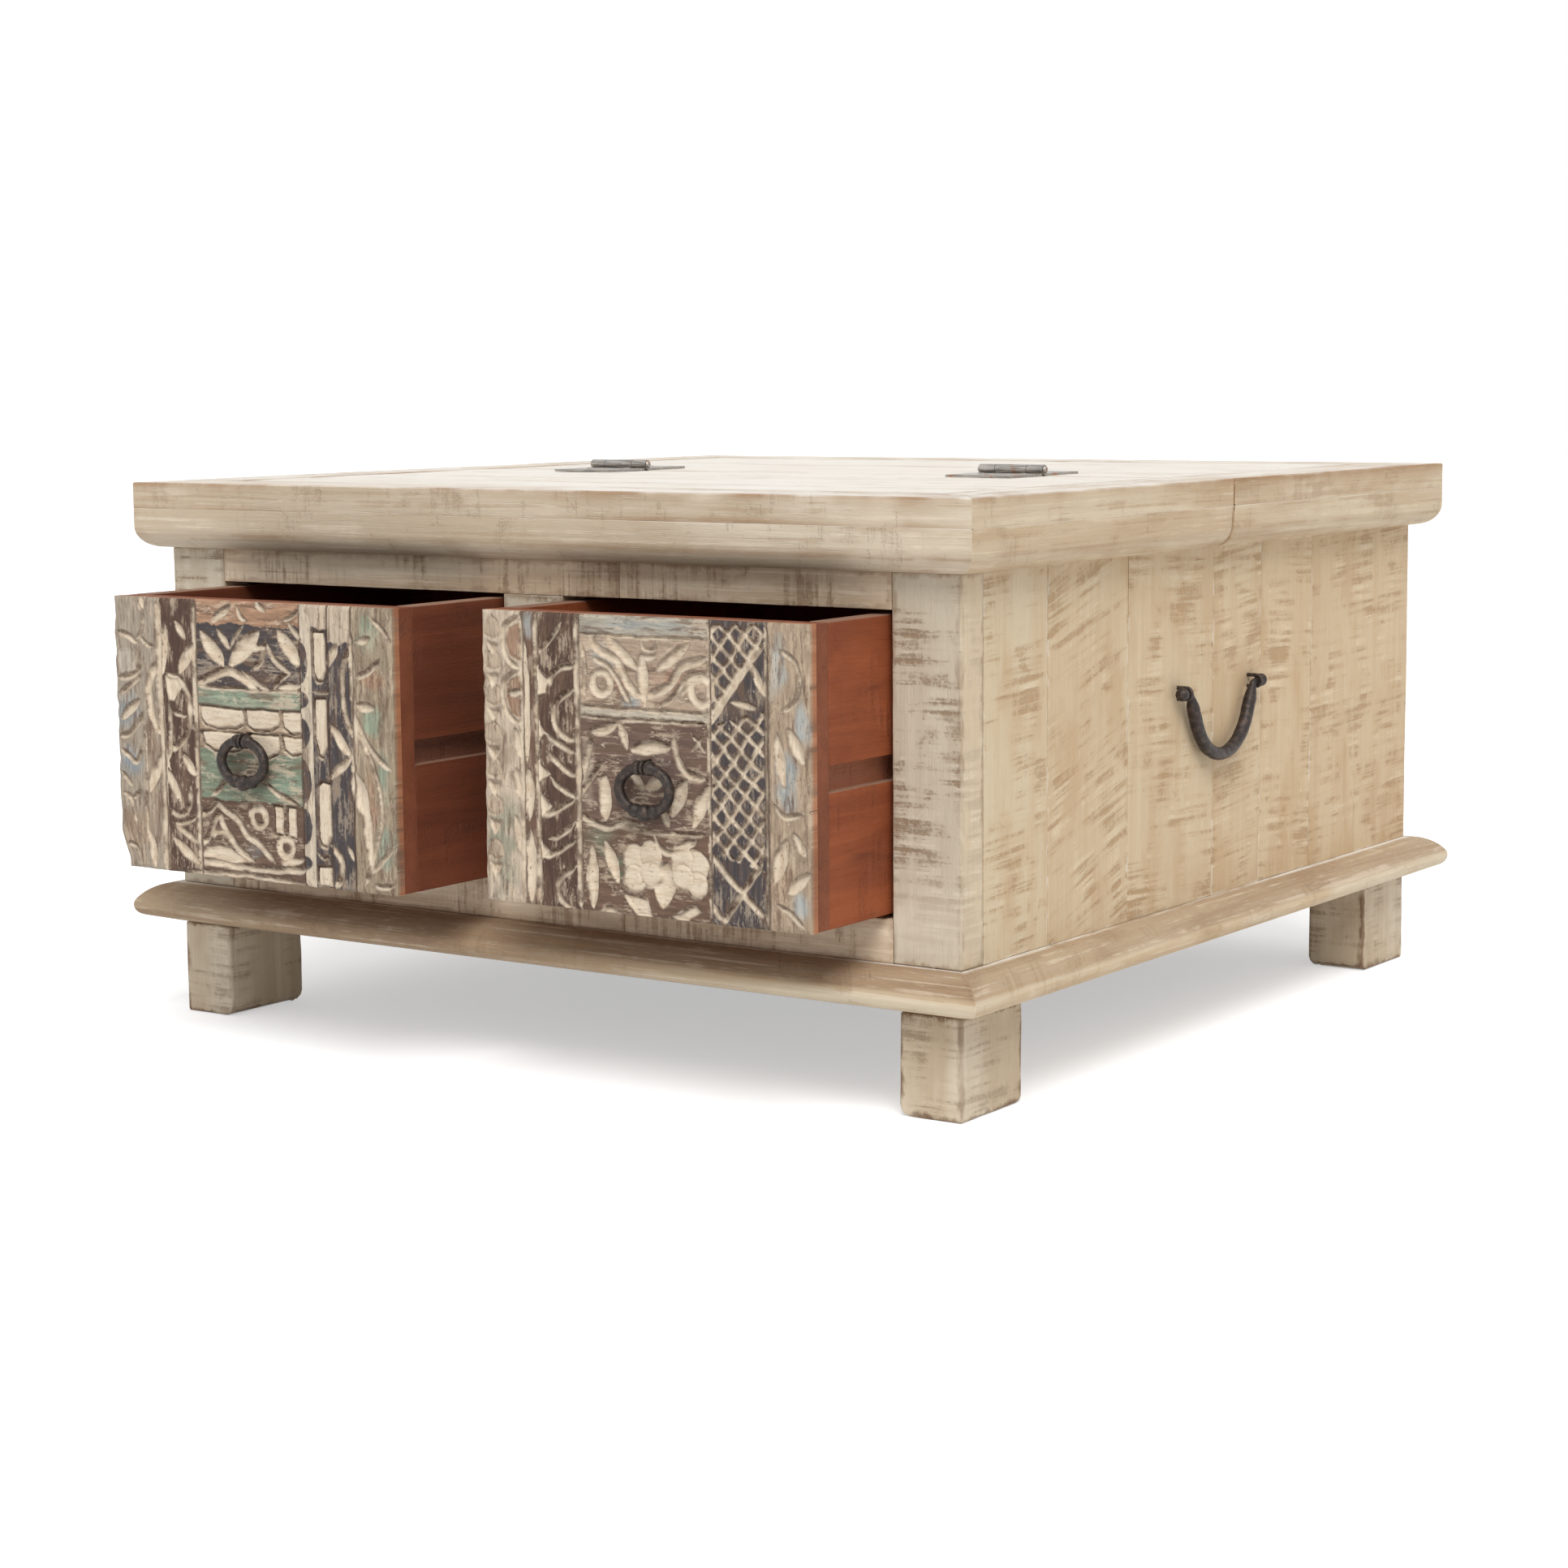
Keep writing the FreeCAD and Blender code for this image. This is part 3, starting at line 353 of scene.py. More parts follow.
def even_cuts(first: float, last: float, count: int) -> list[float]:
    """Where a number of boards of one width meet."""
    return np.linspace(first, last, count + 1)[1:-1].tolist()


def row_of_boards(corners: list[Corners], grain: Axis, seed: int, **looks: float) -> Draft:
    """Draws boards side by side, from the corners of each and the seed of the first."""
    seeds = itertools.count(seed, SEED_STEP)
    return Draft.join([Board(*ends, grain, own, **looks).draft() for ends, own in zip(corners, seeds)])


@dataclass(frozen=True)
class Run:
    """A length of moulding: a section carried along an axis, mitred or cut square at its ends."""

    section: Outline
    along: Axis
    ends: Span
    outer: float
    inward: float
    mitres: tuple[bool, bool]
    seed: int
    rounding: float = 1.2
    under_round: bool = False
    worn_heights: Span = (0.0, 1000.0)
    worn_reach: float = 4.5
    worn_line: float | None = None
    chalk_inset: float | None = None
    chalk_reach: float = 3.6
    mitre_round: float = 0.4
    step: float = 12.0
    wobble: float = 0.3

    @property
    def length(self) -> float:
        """Length of the run from end to end."""
        return self.ends[1] - self.ends[0]

    def ways_in(self, ring: Array) -> Array:
        """The direction into the section at each of its points.

        Args:
            ring: The section's points.

        Returns:
            Directions of length one.
        """
        edge = np.roll(ring, -1, axis=0) - np.roll(ring, 1, axis=0)
        ways = unit(np.stack([-edge[:, 1], edge[:, 0]], axis=1))
        return -ways if np.sum(ways * (ring.mean(axis=0) - ring)) < 0.0 else ways

    def wear(self, ring: Array) -> Array:
        """How bare the wood is rubbed beside the sharp turns of the section.

        Args:
            ring: The section's points.

        Returns:
            A share for each point.
        """
        behind, ahead = ring - np.roll(ring, 1, axis=0), np.roll(ring, -1, axis=0) - ring
        gaps = np.linalg.norm(behind, axis=1)
        turn = np.abs(behind[:, 0] * ahead[:, 1] - behind[:, 1] * ahead[:, 0])
        turn /= np.maximum(gaps * np.roll(gaps, -1), TINY)
        turn *= (ring[:, 1] >= self.worn_heights[0]) & (ring[:, 1] <= self.worn_heights[1])
        around = np.cumsum(gaps)
        apart = np.abs(around[:, None] - around[None, :])
        apart = np.minimum(apart, gaps.sum() - apart)
        worn = (np.clip((turn - 0.2) / 0.3, 0.0, 1.0) * np.exp(-apart / self.worn_reach)).max(axis=1)
        if self.worn_line is not None:
            worn = np.maximum(worn, 0.9 * np.exp(-np.abs(ring[:, 1] - self.worn_line) / 2.0))
        return worn

    def carried(self, ring: Array, ways: Array, places: Array) -> Array:
        """Carries the section along the run, eased at its ends and a little uneven.

        Args:
            ring: The section's points.
            ways: The direction into the section at each point.
            places: Distances from the first end.

        Returns:
            The points of all the sections, one after the other.
        """
        heights = ring[:, 1]
        share = ease((heights.max() - heights) / np.ptp(heights))[:, None]
        along, across = self.along.value, 1 - self.along.value
        rows = []
        for place in places:
            square = not self.mitres[0 if place < self.length / 2.0 else 1]
            worn_back = self.rounding if square else self.mitre_round
            tuck = worn_back * max(0.0, 1.0 - min(place, self.length - place) / worn_back) ** 2
            section = ring + ways * tuck * (share if square and self.under_round else 1.0)
            cut_low, cut_high = (section[:, 0] * mitre for mitre in self.mitres)
            row = np.zeros((len(ring), 3))
            room = self.length - cut_low - cut_high
            row[:, along] = self.ends[0] + cut_low + place / self.length * room
            row[:, across] = self.outer + self.inward * section[:, 0]
            row[:, 2] = section[:, 1]
            rows.append(row)
        flat = np.concatenate(rows)
        lumps = lattice_noise(flat, 60.0, 5) + 0.5 * lattice_noise(flat, 18.0, 8)
        flat[:, across] += self.inward * np.tile(ways[:, 0], len(places)) * self.wobble * (lumps + 1.0)
        return flat

    def draft(self) -> Draft:
        """Draws the run.

        Returns:
            The draft with its grain, half size, seed, rub and second values, and chalk where it has any.
        """
        ring = np.array(self.section)
        ways = self.ways_in(ring)
        places = stations(self.length, 2.0 * self.rounding, self.step)
        count, size = len(places), len(ring)
        gaps = np.linalg.norm(ring - np.roll(ring, 1, axis=0), axis=1)
        along = np.repeat(places - self.length / 2.0, size) * MM
        across = np.tile(np.cumsum(gaps) - gaps[0], count) * MM
        bare = np.zeros(count)
        bare[0], bare[-1] = (float(not mitre) for mitre in self.mitres)
        values = {
            "grain": np.stack([along, across, np.zeros(count * size)], axis=1),
            "half": np.tile(np.array([self.length / 2.0 * MM, 1.0, 1.0]), (count * size, 1)),
            "seed": np.full(count * size, float(self.seed)),
            "rub": np.maximum(np.tile(self.wear(ring), count), np.repeat(bare, size)),
            "second": np.tile(ease(-2.0 * ways[:, 1] - 0.4), count),
        }
        if self.chalk_inset is not None:
            upper = ring[:, 1] > ring[:, 1].max() - 3.0
            near = ease(1.0 - np.abs(ring[:, 0] - self.chalk_inset) / self.chalk_reach)
            values["chalk"] = np.tile(upper * near, count)
        return Draft(self.carried(ring, ways, places), tube_faces(count, size), values)


@dataclass(frozen=True)
class Wire:
    """A forged bar that follows a flat line, thicker and thinner along its way."""

    line: Array
    radii: Array
    closed: bool
    hammer: float = 0.22
    sides: int = 18

    def draft(self, origin: Array, across: Array, up: Array) -> Draft:
        """Draws the bar in the plane of two directions.

        Args:
            origin: Where the line's zero lies.
            across: Direction of the line's first coordinate.
            up: Direction of its second coordinate.

        Returns:
            The draft.
        """
        if self.closed:
            tangent = unit(np.roll(self.line, -1, axis=0) - np.roll(self.line, 1, axis=0))
        else:
            tangent = unit(np.gradient(self.line, axis=0))
        turns = np.linspace(0.0, 2.0 * math.pi, self.sides, endpoint=False)
        centre = origin + self.line[:, :1] * across + self.line[:, 1:] * up
        flank = -tangent[:, 1:] * across + tangent[:, :1] * up
        spokes = np.cos(turns)[:, None] * flank[:, None, :] + np.sin(turns)[:, None] * np.cross(across, up)
        points = (centre[:, None, :] + self.radii[:, None, None] * spokes).reshape(-1, 3)
        dents = lattice_noise(points, 4.5, 7) + 0.5 * lattice_noise(points, 2.1, 11)
        points += spokes.reshape(-1, 3) * (self.hammer * (dents - 0.9))[:, None]
        return Draft(points, tube_faces(len(self.line), self.sides, self.closed))


Socket = bpy.types.NodeSocket


def seen_directly(tree: bpy.types.NodeTree) -> Socket:
    """One where the eye, a gloss or a clear thing looks straight at the surface.

    Args:
        tree: The nodes that it is added to.

    Returns:
        The socket with the answer.
    """
    path = tree.nodes.new("ShaderNodeLightPath")
    seen = path.outputs["Is Camera Ray"]
    for ray in ("Is Glossy Ray", "Is Transmission Ray"):
        either = tree.nodes.new("ShaderNodeMath")
        either.operation = "MAXIMUM"
        tree.links.new(seen, either.inputs[0])
        tree.links.new(path.outputs[ray], either.inputs[1])
        seen = either.outputs[0]
    return seen


@dataclass(frozen=True)
class Reading:
    """A number, vector or colour that a material works out at each point of its surface."""

    bench: "Bench"
    socket: Socket

    def __add__(self, other: "Feed") -> "Reading":
        """This number and another added."""
        return self.bench.math("ADD", self, other)

    def __sub__(self, other: "Feed") -> "Reading":
        """Another number taken from this one."""
        return self.bench.math("SUBTRACT", self, other)

    def __rsub__(self, other: float) -> "Reading":
        """This number taken from a plain one."""
        return self.bench.math("SUBTRACT", other, self)

    def __mul__(self, other: "Feed") -> "Reading":
        """This number and another multiplied."""
        return self.bench.math("MULTIPLY", self, other)

    def most(self, other: "Feed") -> "Reading":
        """The larger of this number and another."""
        return self.bench.math("MAXIMUM", self, other)

    def least(self, other: "Feed") -> "Reading":
        """The smaller of this number and another."""
        return self.bench.math("MINIMUM", self, other)

    def step(self, low: float, high: float, start: float = 0.0, end: float = 1.0) -> "Reading":
        """A smooth step from start to end between two levels of this number."""
        keys = ("Value", "From Min", "From Max", "To Min", "To Max")
        feeds = dict(zip(keys, (self, low, high, start, end)))
        return self.bench.fed("ShaderNodeMapRange", feeds, interpolation_type="SMOOTHSTEP")

    def lays(self, top: "Feed", base: "Feed") -> "Reading":
        """A colour laid over another, by this share."""
        return self.bench.fed("ShaderNodeMix", {"Factor": self, 6: base, 7: top}, 2, data_type="RGBA")


Feed = Reading | float | Row


class Bench:
    """The nodes of one material, put together step by step."""

    def __init__(self, name: str) -> None:
        """Starts a material with one shader.

        Args:
            name: Name of the material.
        """
        self.material = bpy.data.materials.new(name)
        self.material.use_nodes = True
        self.tree = self.material.node_tree
        self.tree.nodes.clear()
        self.shader = self.tree.nodes.new("ShaderNodeBsdfPrincipled")
        self.output = self.tree.nodes.new("ShaderNodeOutputMaterial")
        self.tree.links.new(self.shader.outputs["BSDF"], self.output.inputs["Surface"])

    def put(self, socket: Socket, feed: Feed) -> None:
        """Links a socket, or sets its value where the feed is plain."""
        if isinstance(feed, Reading):
            self.tree.links.new(feed.socket, socket)
        else:
            socket.default_value = (*feed, 1.0) if socket.type == "RGBA" else feed

    def fed(self, kind: str, feeds: dict[int | str, Feed], output: int | str = 0,
            **settings: str) -> Reading:
        """Adds a node, feeds it and reads one of its outputs.

        Args:
            kind: The kind of node.
            feeds: What goes into its sockets, by their names or places.
            output: Name or place of the output.
            settings: The node's own settings.

        Returns:
            The reading.
        """
        made = self.tree.nodes.new(kind)
        for key, value in settings.items():
            setattr(made, key, value)
        for key, feed in feeds.items():
            self.put(made.inputs[key], feed)
        return Reading(self, made.outputs[output])

    def value(self, name: str, output: str = "Fac") -> Reading:
        """A value that the mesh carries at its points."""
        return self.fed("ShaderNodeAttribute", {}, output, attribute_name=name)

    def place(self) -> Reading:
        """The place on the object itself."""
        return self.fed("ShaderNodeTexCoord", {}, "Object")

    def parts(self, vector: Reading) -> list[Reading]:
        """The three numbers of a vector."""
        split = self.fed("ShaderNodeSeparateXYZ", {0: vector}).socket.node
        return [Reading(self, socket) for socket in split.outputs]

    def sawn_along(self, axis: Axis) -> Reading:
        """The place on the object itself, with the way of the grain first."""
        parts = self.parts(self.place())
        feeds = {number: parts[(axis.value + number) % 3] for number in range(3)}
        return self.fed("ShaderNodeCombineXYZ", feeds)

    def math(self, operation: str, first: Feed, second: Feed) -> Reading:
        """Two numbers put together."""
        return self.fed("ShaderNodeMath", {0: first, 1: second}, operation=operation)

    def vector(self, operation: str, first: Feed, second: Feed = (0.0, 0.0, 0.0)) -> Reading:
        """Two vectors put together; SCALE takes a number as its second."""
        key = "Scale" if operation == "SCALE" else 1
        return self.fed("ShaderNodeVectorMath", {0: first, key: second}, operation=operation)

    def turned(self, vector: Feed, angle: Feed) -> Reading:
        """A vector turned about its third axis."""
        feeds = {"Vector": vector, "Angle": angle}
        return self.fed("ShaderNodeVectorRotate", feeds, rotation_type="Z_AXIS")

    def noise(self, vector: Feed, scales: Colour, detail: float = 4.0, rough: float = 0.55,
              twist: float = 0.0) -> Reading:
        """Noise about 0.5, drawn out along the grain, with so many lumps per metre each way."""
        feeds = {"Vector": self.vector("MULTIPLY", vector, scales), "Scale": 1.0, "Detail": detail,
                 "Roughness": rough, "Distortion": twist}
        return self.fed("ShaderNodeTexNoise", feeds, "Fac")

    def arris(self, grain: Reading) -> Reading:
        """Distance in metres from the nearest arris of a board: the middle one of those to its faces."""
        inside = self.vector("SUBTRACT", self.value("half", "Vector"), self.vector("ABSOLUTE", grain))
        x, y, z = self.parts(inside)
        return x + y + z - x.least(y).least(z) - x.most(y).most(z)

    def finish(self, colour: Feed, rough: Feed, height: Feed, depth: float, gloss: float = 0.5,
               metal: float = 0.0) -> bpy.types.Material:
        """Feeds the shader.

        Args:
            colour: Base colour.
            rough: Roughness.
            height: Height of the bump.
            depth: Depth of the bump in metres.
            gloss: Level of the reflections.
            metal: Share of metal.

        Returns:
            The material.
        """
        bump = self.fed("ShaderNodeBump", {"Strength": 0.9, "Distance": depth, "Height": height})
        feeds = {"Base Color": colour, "Roughness": rough, "Normal": bump, "Specular IOR Level": gloss,
                 "Metallic": metal}
        for key, feed in feeds.items():
            self.put(self.shader.inputs[key], feed)
        return self.material


class Figure:
    """The noise that all the marks of a board follow, from fine fibres to broad clouds."""

    def __init__(self, bench: Bench, along: Axis | None) -> None:
        """Draws the figure of a board.

        Args:
            bench: The material's nodes.
            along: The way of the grain, where the mesh itself doesn't carry it.
        """
        self.bench = bench
        self.grain = bench.value("grain", "Vector") if along is None else bench.sawn_along(along)
        shift = bench.vector("SCALE", (0.917, 0.613, 0.377), bench.value("seed"))
        self.place = bench.vector("ADD", self.grain, shift)
        self.fibre = self.noise((9.0, 420.0, 420.0), 4.0, 0.6)
        self.streak = self.noise((2.0, 32.0, 32.0), 4.0, 0.55, 0.8)
        self.cloud = self.noise((9.0, 17.0, 17.0), 3.0)
        self.smudge = self.noise((19.0, 27.0, 27.0), 5.0, 0.62, 0.5)
        slanted = bench.turned(self.place, bench.value("slant"))
        self.sawn = bench.noise(slanted, (185.0, 10.0, 10.0), 3.0, 0.6)
        self.ground = self.smudge * 0.45 + self.noise((420.0, 330.0, 330.0), 4.0, 0.7) * 0.2
        self.line = self.noise((4.0, 230.0, 230.0), 3.0, 0.6) * 0.6 + self.smudge * 0.4
        self.pores = self.noise((55.0, 1300.0, 1300.0), 2.0)

    def noise(self, scales: Colour, detail: float, rough: float = 0.55, twist: float = 0.0) -> Reading:
        """Noise over the board itself."""
        return self.bench.noise(self.place, scales, detail, rough, twist)


@dataclass(frozen=True)
class BoardWood:
    """Board wood that reads the way of its grain: limed, raw or stained, by its colours."""

    name: str
    pale: Colour
    tan: Colour
    brown: Colour
    streaks: float = 0.6
    saw: float = 0.6
    worn: float = 0.5
    filler: float = 0.0
    knots: float = 0.3
    lime: float = 0.3
    gloss: float = 0.3
    patches: float = 0.4
    fibres: float = 0.09
    bands: float = 0.0
    lines: float = 0.0
    mark_from: float = 0.54
    mark_over: float = 0.09
    second: tuple[Colour, Colour] | None = None
    along: Axis | None = None
    chalk: Colour = (0.90, 0.87, 0.80)

    @property
    def white(self) -> Colour:
        """The pale wood where the lime lies thick."""
        return tuple(min(0.9, 1.13 * c + 0.05) for c in self.pale)

    def sawn(self, figure: Figure) -> Reading:
        """The colour of the sawn wood: streaks, clouds, saw bands and dark lines.

        Args:
            figure: The board's figure.

        Returns:
            The colour.
        """
        tone = figure.streak.step(0.34, 0.68, 0.0, self.streaks)
        tone += figure.fibre.step(0.3, 0.7, -self.fibres, self.fibres)
        pale, tan = self.pale, self.tan
        if self.second:
            other = figure.bench.value("second")
            pale, tan = other.lays(self.second[0], pale), other.lays(self.second[1], tan)
        colour = tone.lays(tan, pale)
        colour = figure.cloud.step(0.48, 0.66, 0.0, self.patches).lays(tan, colour)
        deep = tuple(0.45 * t + 0.55 * b for t, b in zip(self.tan, self.brown))
        band = figure.sawn.step(0.44, 0.62) * figure.smudge.step(0.4, 0.56) * self.bands
        colour = band.lays(deep, colour)
        return figure.line.step(0.535, 0.6, 0.0, self.lines).lays(deep, colour)

    def limed(self, figure: Figure, colour: Reading, mark: Reading) -> Reading:
        """Lays lime on the ridges of the saw and lets the brown show in its marks.

        Args:
            figure: The board's figure.
            colour: The sawn wood.
            mark: Where the saw's marks are.

        Returns:
            The colour.
        """
        ridge = (figure.ground - figure.sawn * 0.35).step(0.19, 0.27)
        colour = (ridge * (0.7 * self.saw)).lays(self.white, colour)
        colour = figure.line.step(0.46, 0.38, 0.0, 0.8 * self.lines).lays(self.white, colour)
        colour = (mark * self.saw).lays(self.brown, colour)
        colour = (figure.bench.value("wiped") * 0.3).lays(self.white, colour)
        knot = figure.noise((6.0, 40.0, 40.0), 3.0, 0.5, 0.6)
        return knot.step(0.64, 0.78, 0.0, self.knots).lays(self.brown, colour)

    def aged(self, figure: Figure, colour: Reading) -> Reading:
        """Wears the arrises, and leaves lime in the pores and filler in the seams.

        Args:
            figure: The board's figure.
            colour: The limed wood.

        Returns:
            The colour.
        """
        wear = figure.bench.value("rub")
        filled = figure.bench.value("chalk") * figure.noise((7.0, 60.0, 60.0), 5.0, 0.7).step(0.40, 0.6)
        if self.along is None:
            edge = figure.bench.arris(figure.grain)
            broken = figure.noise((60.0, 110.0, 110.0), 3.0, 0.6).step(0.2, 0.8, -0.003, 0.003)
            wear = (edge + broken).step(0.0048, 0.0006).most(wear)
            crumbs = figure.noise((38.0, 30.0, 30.0), 4.0, 0.6).step(0.50, 0.58)
            filled = (edge.step(0.0021, 0.0007) * crumbs * self.filler).most(filled)
        worn = wear * figure.cloud.step(0.36, 0.62, 0.15, 1.0) * self.worn
        colour = worn.lays(self.brown, colour)
        colour = figure.pores.step(0.56, 0.72, 0.0, self.lime).lays(self.white, colour)
        return filled.lays(self.chalk, colour)

    def make(self) -> bpy.types.Material:
        """Makes the material.

        Returns:
            A material of fibres, streaks, saw marks, knots, worn arrises and lime.
        """
        bench = Bench(self.name)
        figure = Figure(bench, self.along)
        mark = (figure.ground + figure.sawn * 0.35).step(self.mark_from, self.mark_from + self.mark_over)
        mark *= 1.0 - bench.value("wiped")
        colour = self.aged(figure, self.limed(figure, self.sawn(figure), mark))
        height = figure.fibre * 0.5 + mark * -0.8 - figure.pores.step(0.56, 0.72, 0.0, 0.25)
        rough = figure.fibre.step(0.3, 0.7, 0.56, 0.74)
        return bench.finish(colour, rough, height, 0.0006, self.gloss)


@dataclass(frozen=True)
class CarvedPaint:
    """Old paint on carved blocks, rubbed through to cream in the cuts and on the high ground, with painted
    shade in its hollows and a painted highlight on slopes that face up.
    """

    name: str = "carved_paint"
    cream: Colour = (0.69, 0.585, 0.45)
    tan: Colour = (0.46, 0.33, 0.22)
    dark: Colour = (0.09, 0.053, 0.036)
    soot: Colour = (0.15, 0.092, 0.062)

    def make(self) -> bpy.types.Material:
        """Makes the material.

        Returns:
            A material that reads the paint, cut and flake values of the facing, and the painted shade and
            grime that it lays on.
        """
        bench = Bench(self.name)
        grain = bench.value("grain", "Vector")
        flake = bench.value("flake")
        streak = bench.noise(grain, (45.0, 340.0, 340.0), 5.0, 0.68)
        cloud = bench.noise(grain, (44.0, 70.0, 70.0), 4.0, 0.6)
        speck = bench.noise(grain, (260.0, 560.0, 560.0), 3.0, 0.65)
        sooty = bench.noise(grain, (30.0, 130.0, 130.0), 5.0, 0.7, 0.4)
        ground = bench.vector("SCALE", bench.value("paint", "Vector"), streak.step(0.3, 0.7, 0.75, 1.25))
        ground = sooty.step(0.5, 0.63, 0.0, 0.75).lays(self.soot, ground)
        bare = streak.step(0.42, 0.66, 0.0, 0.55).lays(self.tan, self.cream)
        bare = cloud.step(0.52, 0.7, 0.0, 0.4).lays(self.tan, bare)
        thin = (streak * 0.5 + cloud * 0.5).step(0.51, 0.6) * flake
        chips = speck.step(0.57, 0.65) * cloud.step(0.44, 0.6) * flake
        colour = (thin * 0.75).most(chips).lays(bare, ground)
        # The cut value also carries a painted highlight on slopes that face up, partly rubbed paint.
        cut = bench.value("cut") * speck.step(0.3, 0.42, 0.8, 1.0)
        colour = cut.lays(bare, colour)
        pits = speck.step(0.4, 0.32) * cloud.step(0.42, 0.6, 0.2, 0.7)
        colour = pits.lays(self.dark, colour)
        # Painted shade, with some grime, in the hollows, along the cuts and under ridges, and the dark
        # seams.
        grime_and_shade = bench.value("crease") * speck.step(0.34, 0.55, 0.55, 1.0)
        colour = grime_and_shade.lays(self.dark, colour)
        return bench.finish(colour, 0.72, streak + speck * 0.4, 0.0005, 0.25)


@dataclass(frozen=True)
class ForgedIron:
    """Blackened iron with a brown bloom and hammer marks."""

    name: str = "forged_iron"
    black: Colour = (0.026, 0.019, 0.016)
    bloom: Colour = (0.085, 0.056, 0.042)

    def make(self) -> bpy.types.Material:
        """Makes the material.

        Returns:
            A material that reads only the place on the object.
        """
        bench = Bench(self.name)
        place = bench.place()
        dents = bench.noise(place, (210.0, 210.0, 210.0), 3.0, 0.5)
        grit = bench.noise(place, (1500.0, 1500.0, 1500.0), 3.0, 0.6)
        bloom = dents.step(0.42, 0.68) * grit.step(0.35, 0.62, 0.35, 1.0)
        colour = bloom.lays(self.bloom, self.black)
        rough = grit.step(0.3, 0.7, 0.36, 0.58)
        height = dents + grit * 0.25
        return bench.finish(colour, rough, height, 0.0009, 0.45, 0.35)


@dataclass(frozen=True)
class HingeSteel:
    """Bright rolled steel gone grey, with rust and a coppery tint."""

    name: str = "hinge_steel"
    grey: Colour = (0.47, 0.44, 0.40)
    dull: Colour = (0.17, 0.16, 0.15)
    rust: Colour = (0.38, 0.17, 0.08)

    def make(self) -> bpy.types.Material:
        """Makes the material.

        Returns:
            A material that reads only the place on the object.
        """
        bench = Bench(self.name)
        place = bench.place()
        drawn = bench.noise(place, (60.0, 900.0, 900.0), 3.0, 0.6)
        cloud = bench.noise(place, (90.0, 90.0, 90.0), 3.0)
        grit = bench.noise(place, (1400.0, 1400.0, 1400.0), 2.0, 0.6)
        colour = drawn.step(0.38, 0.62, 0.0, 0.75).lays(self.dull, self.grey)
        rusted = cloud.step(0.56, 0.7) * grit.step(0.36, 0.6, 0.4, 1.0)
        colour = rusted.lays(self.rust, colour)
        rough = cloud.step(0.35, 0.65, 0.26, 0.52)
        return bench.finish(colour, rough, drawn + grit * 0.4, 0.0002, metal=0.9)


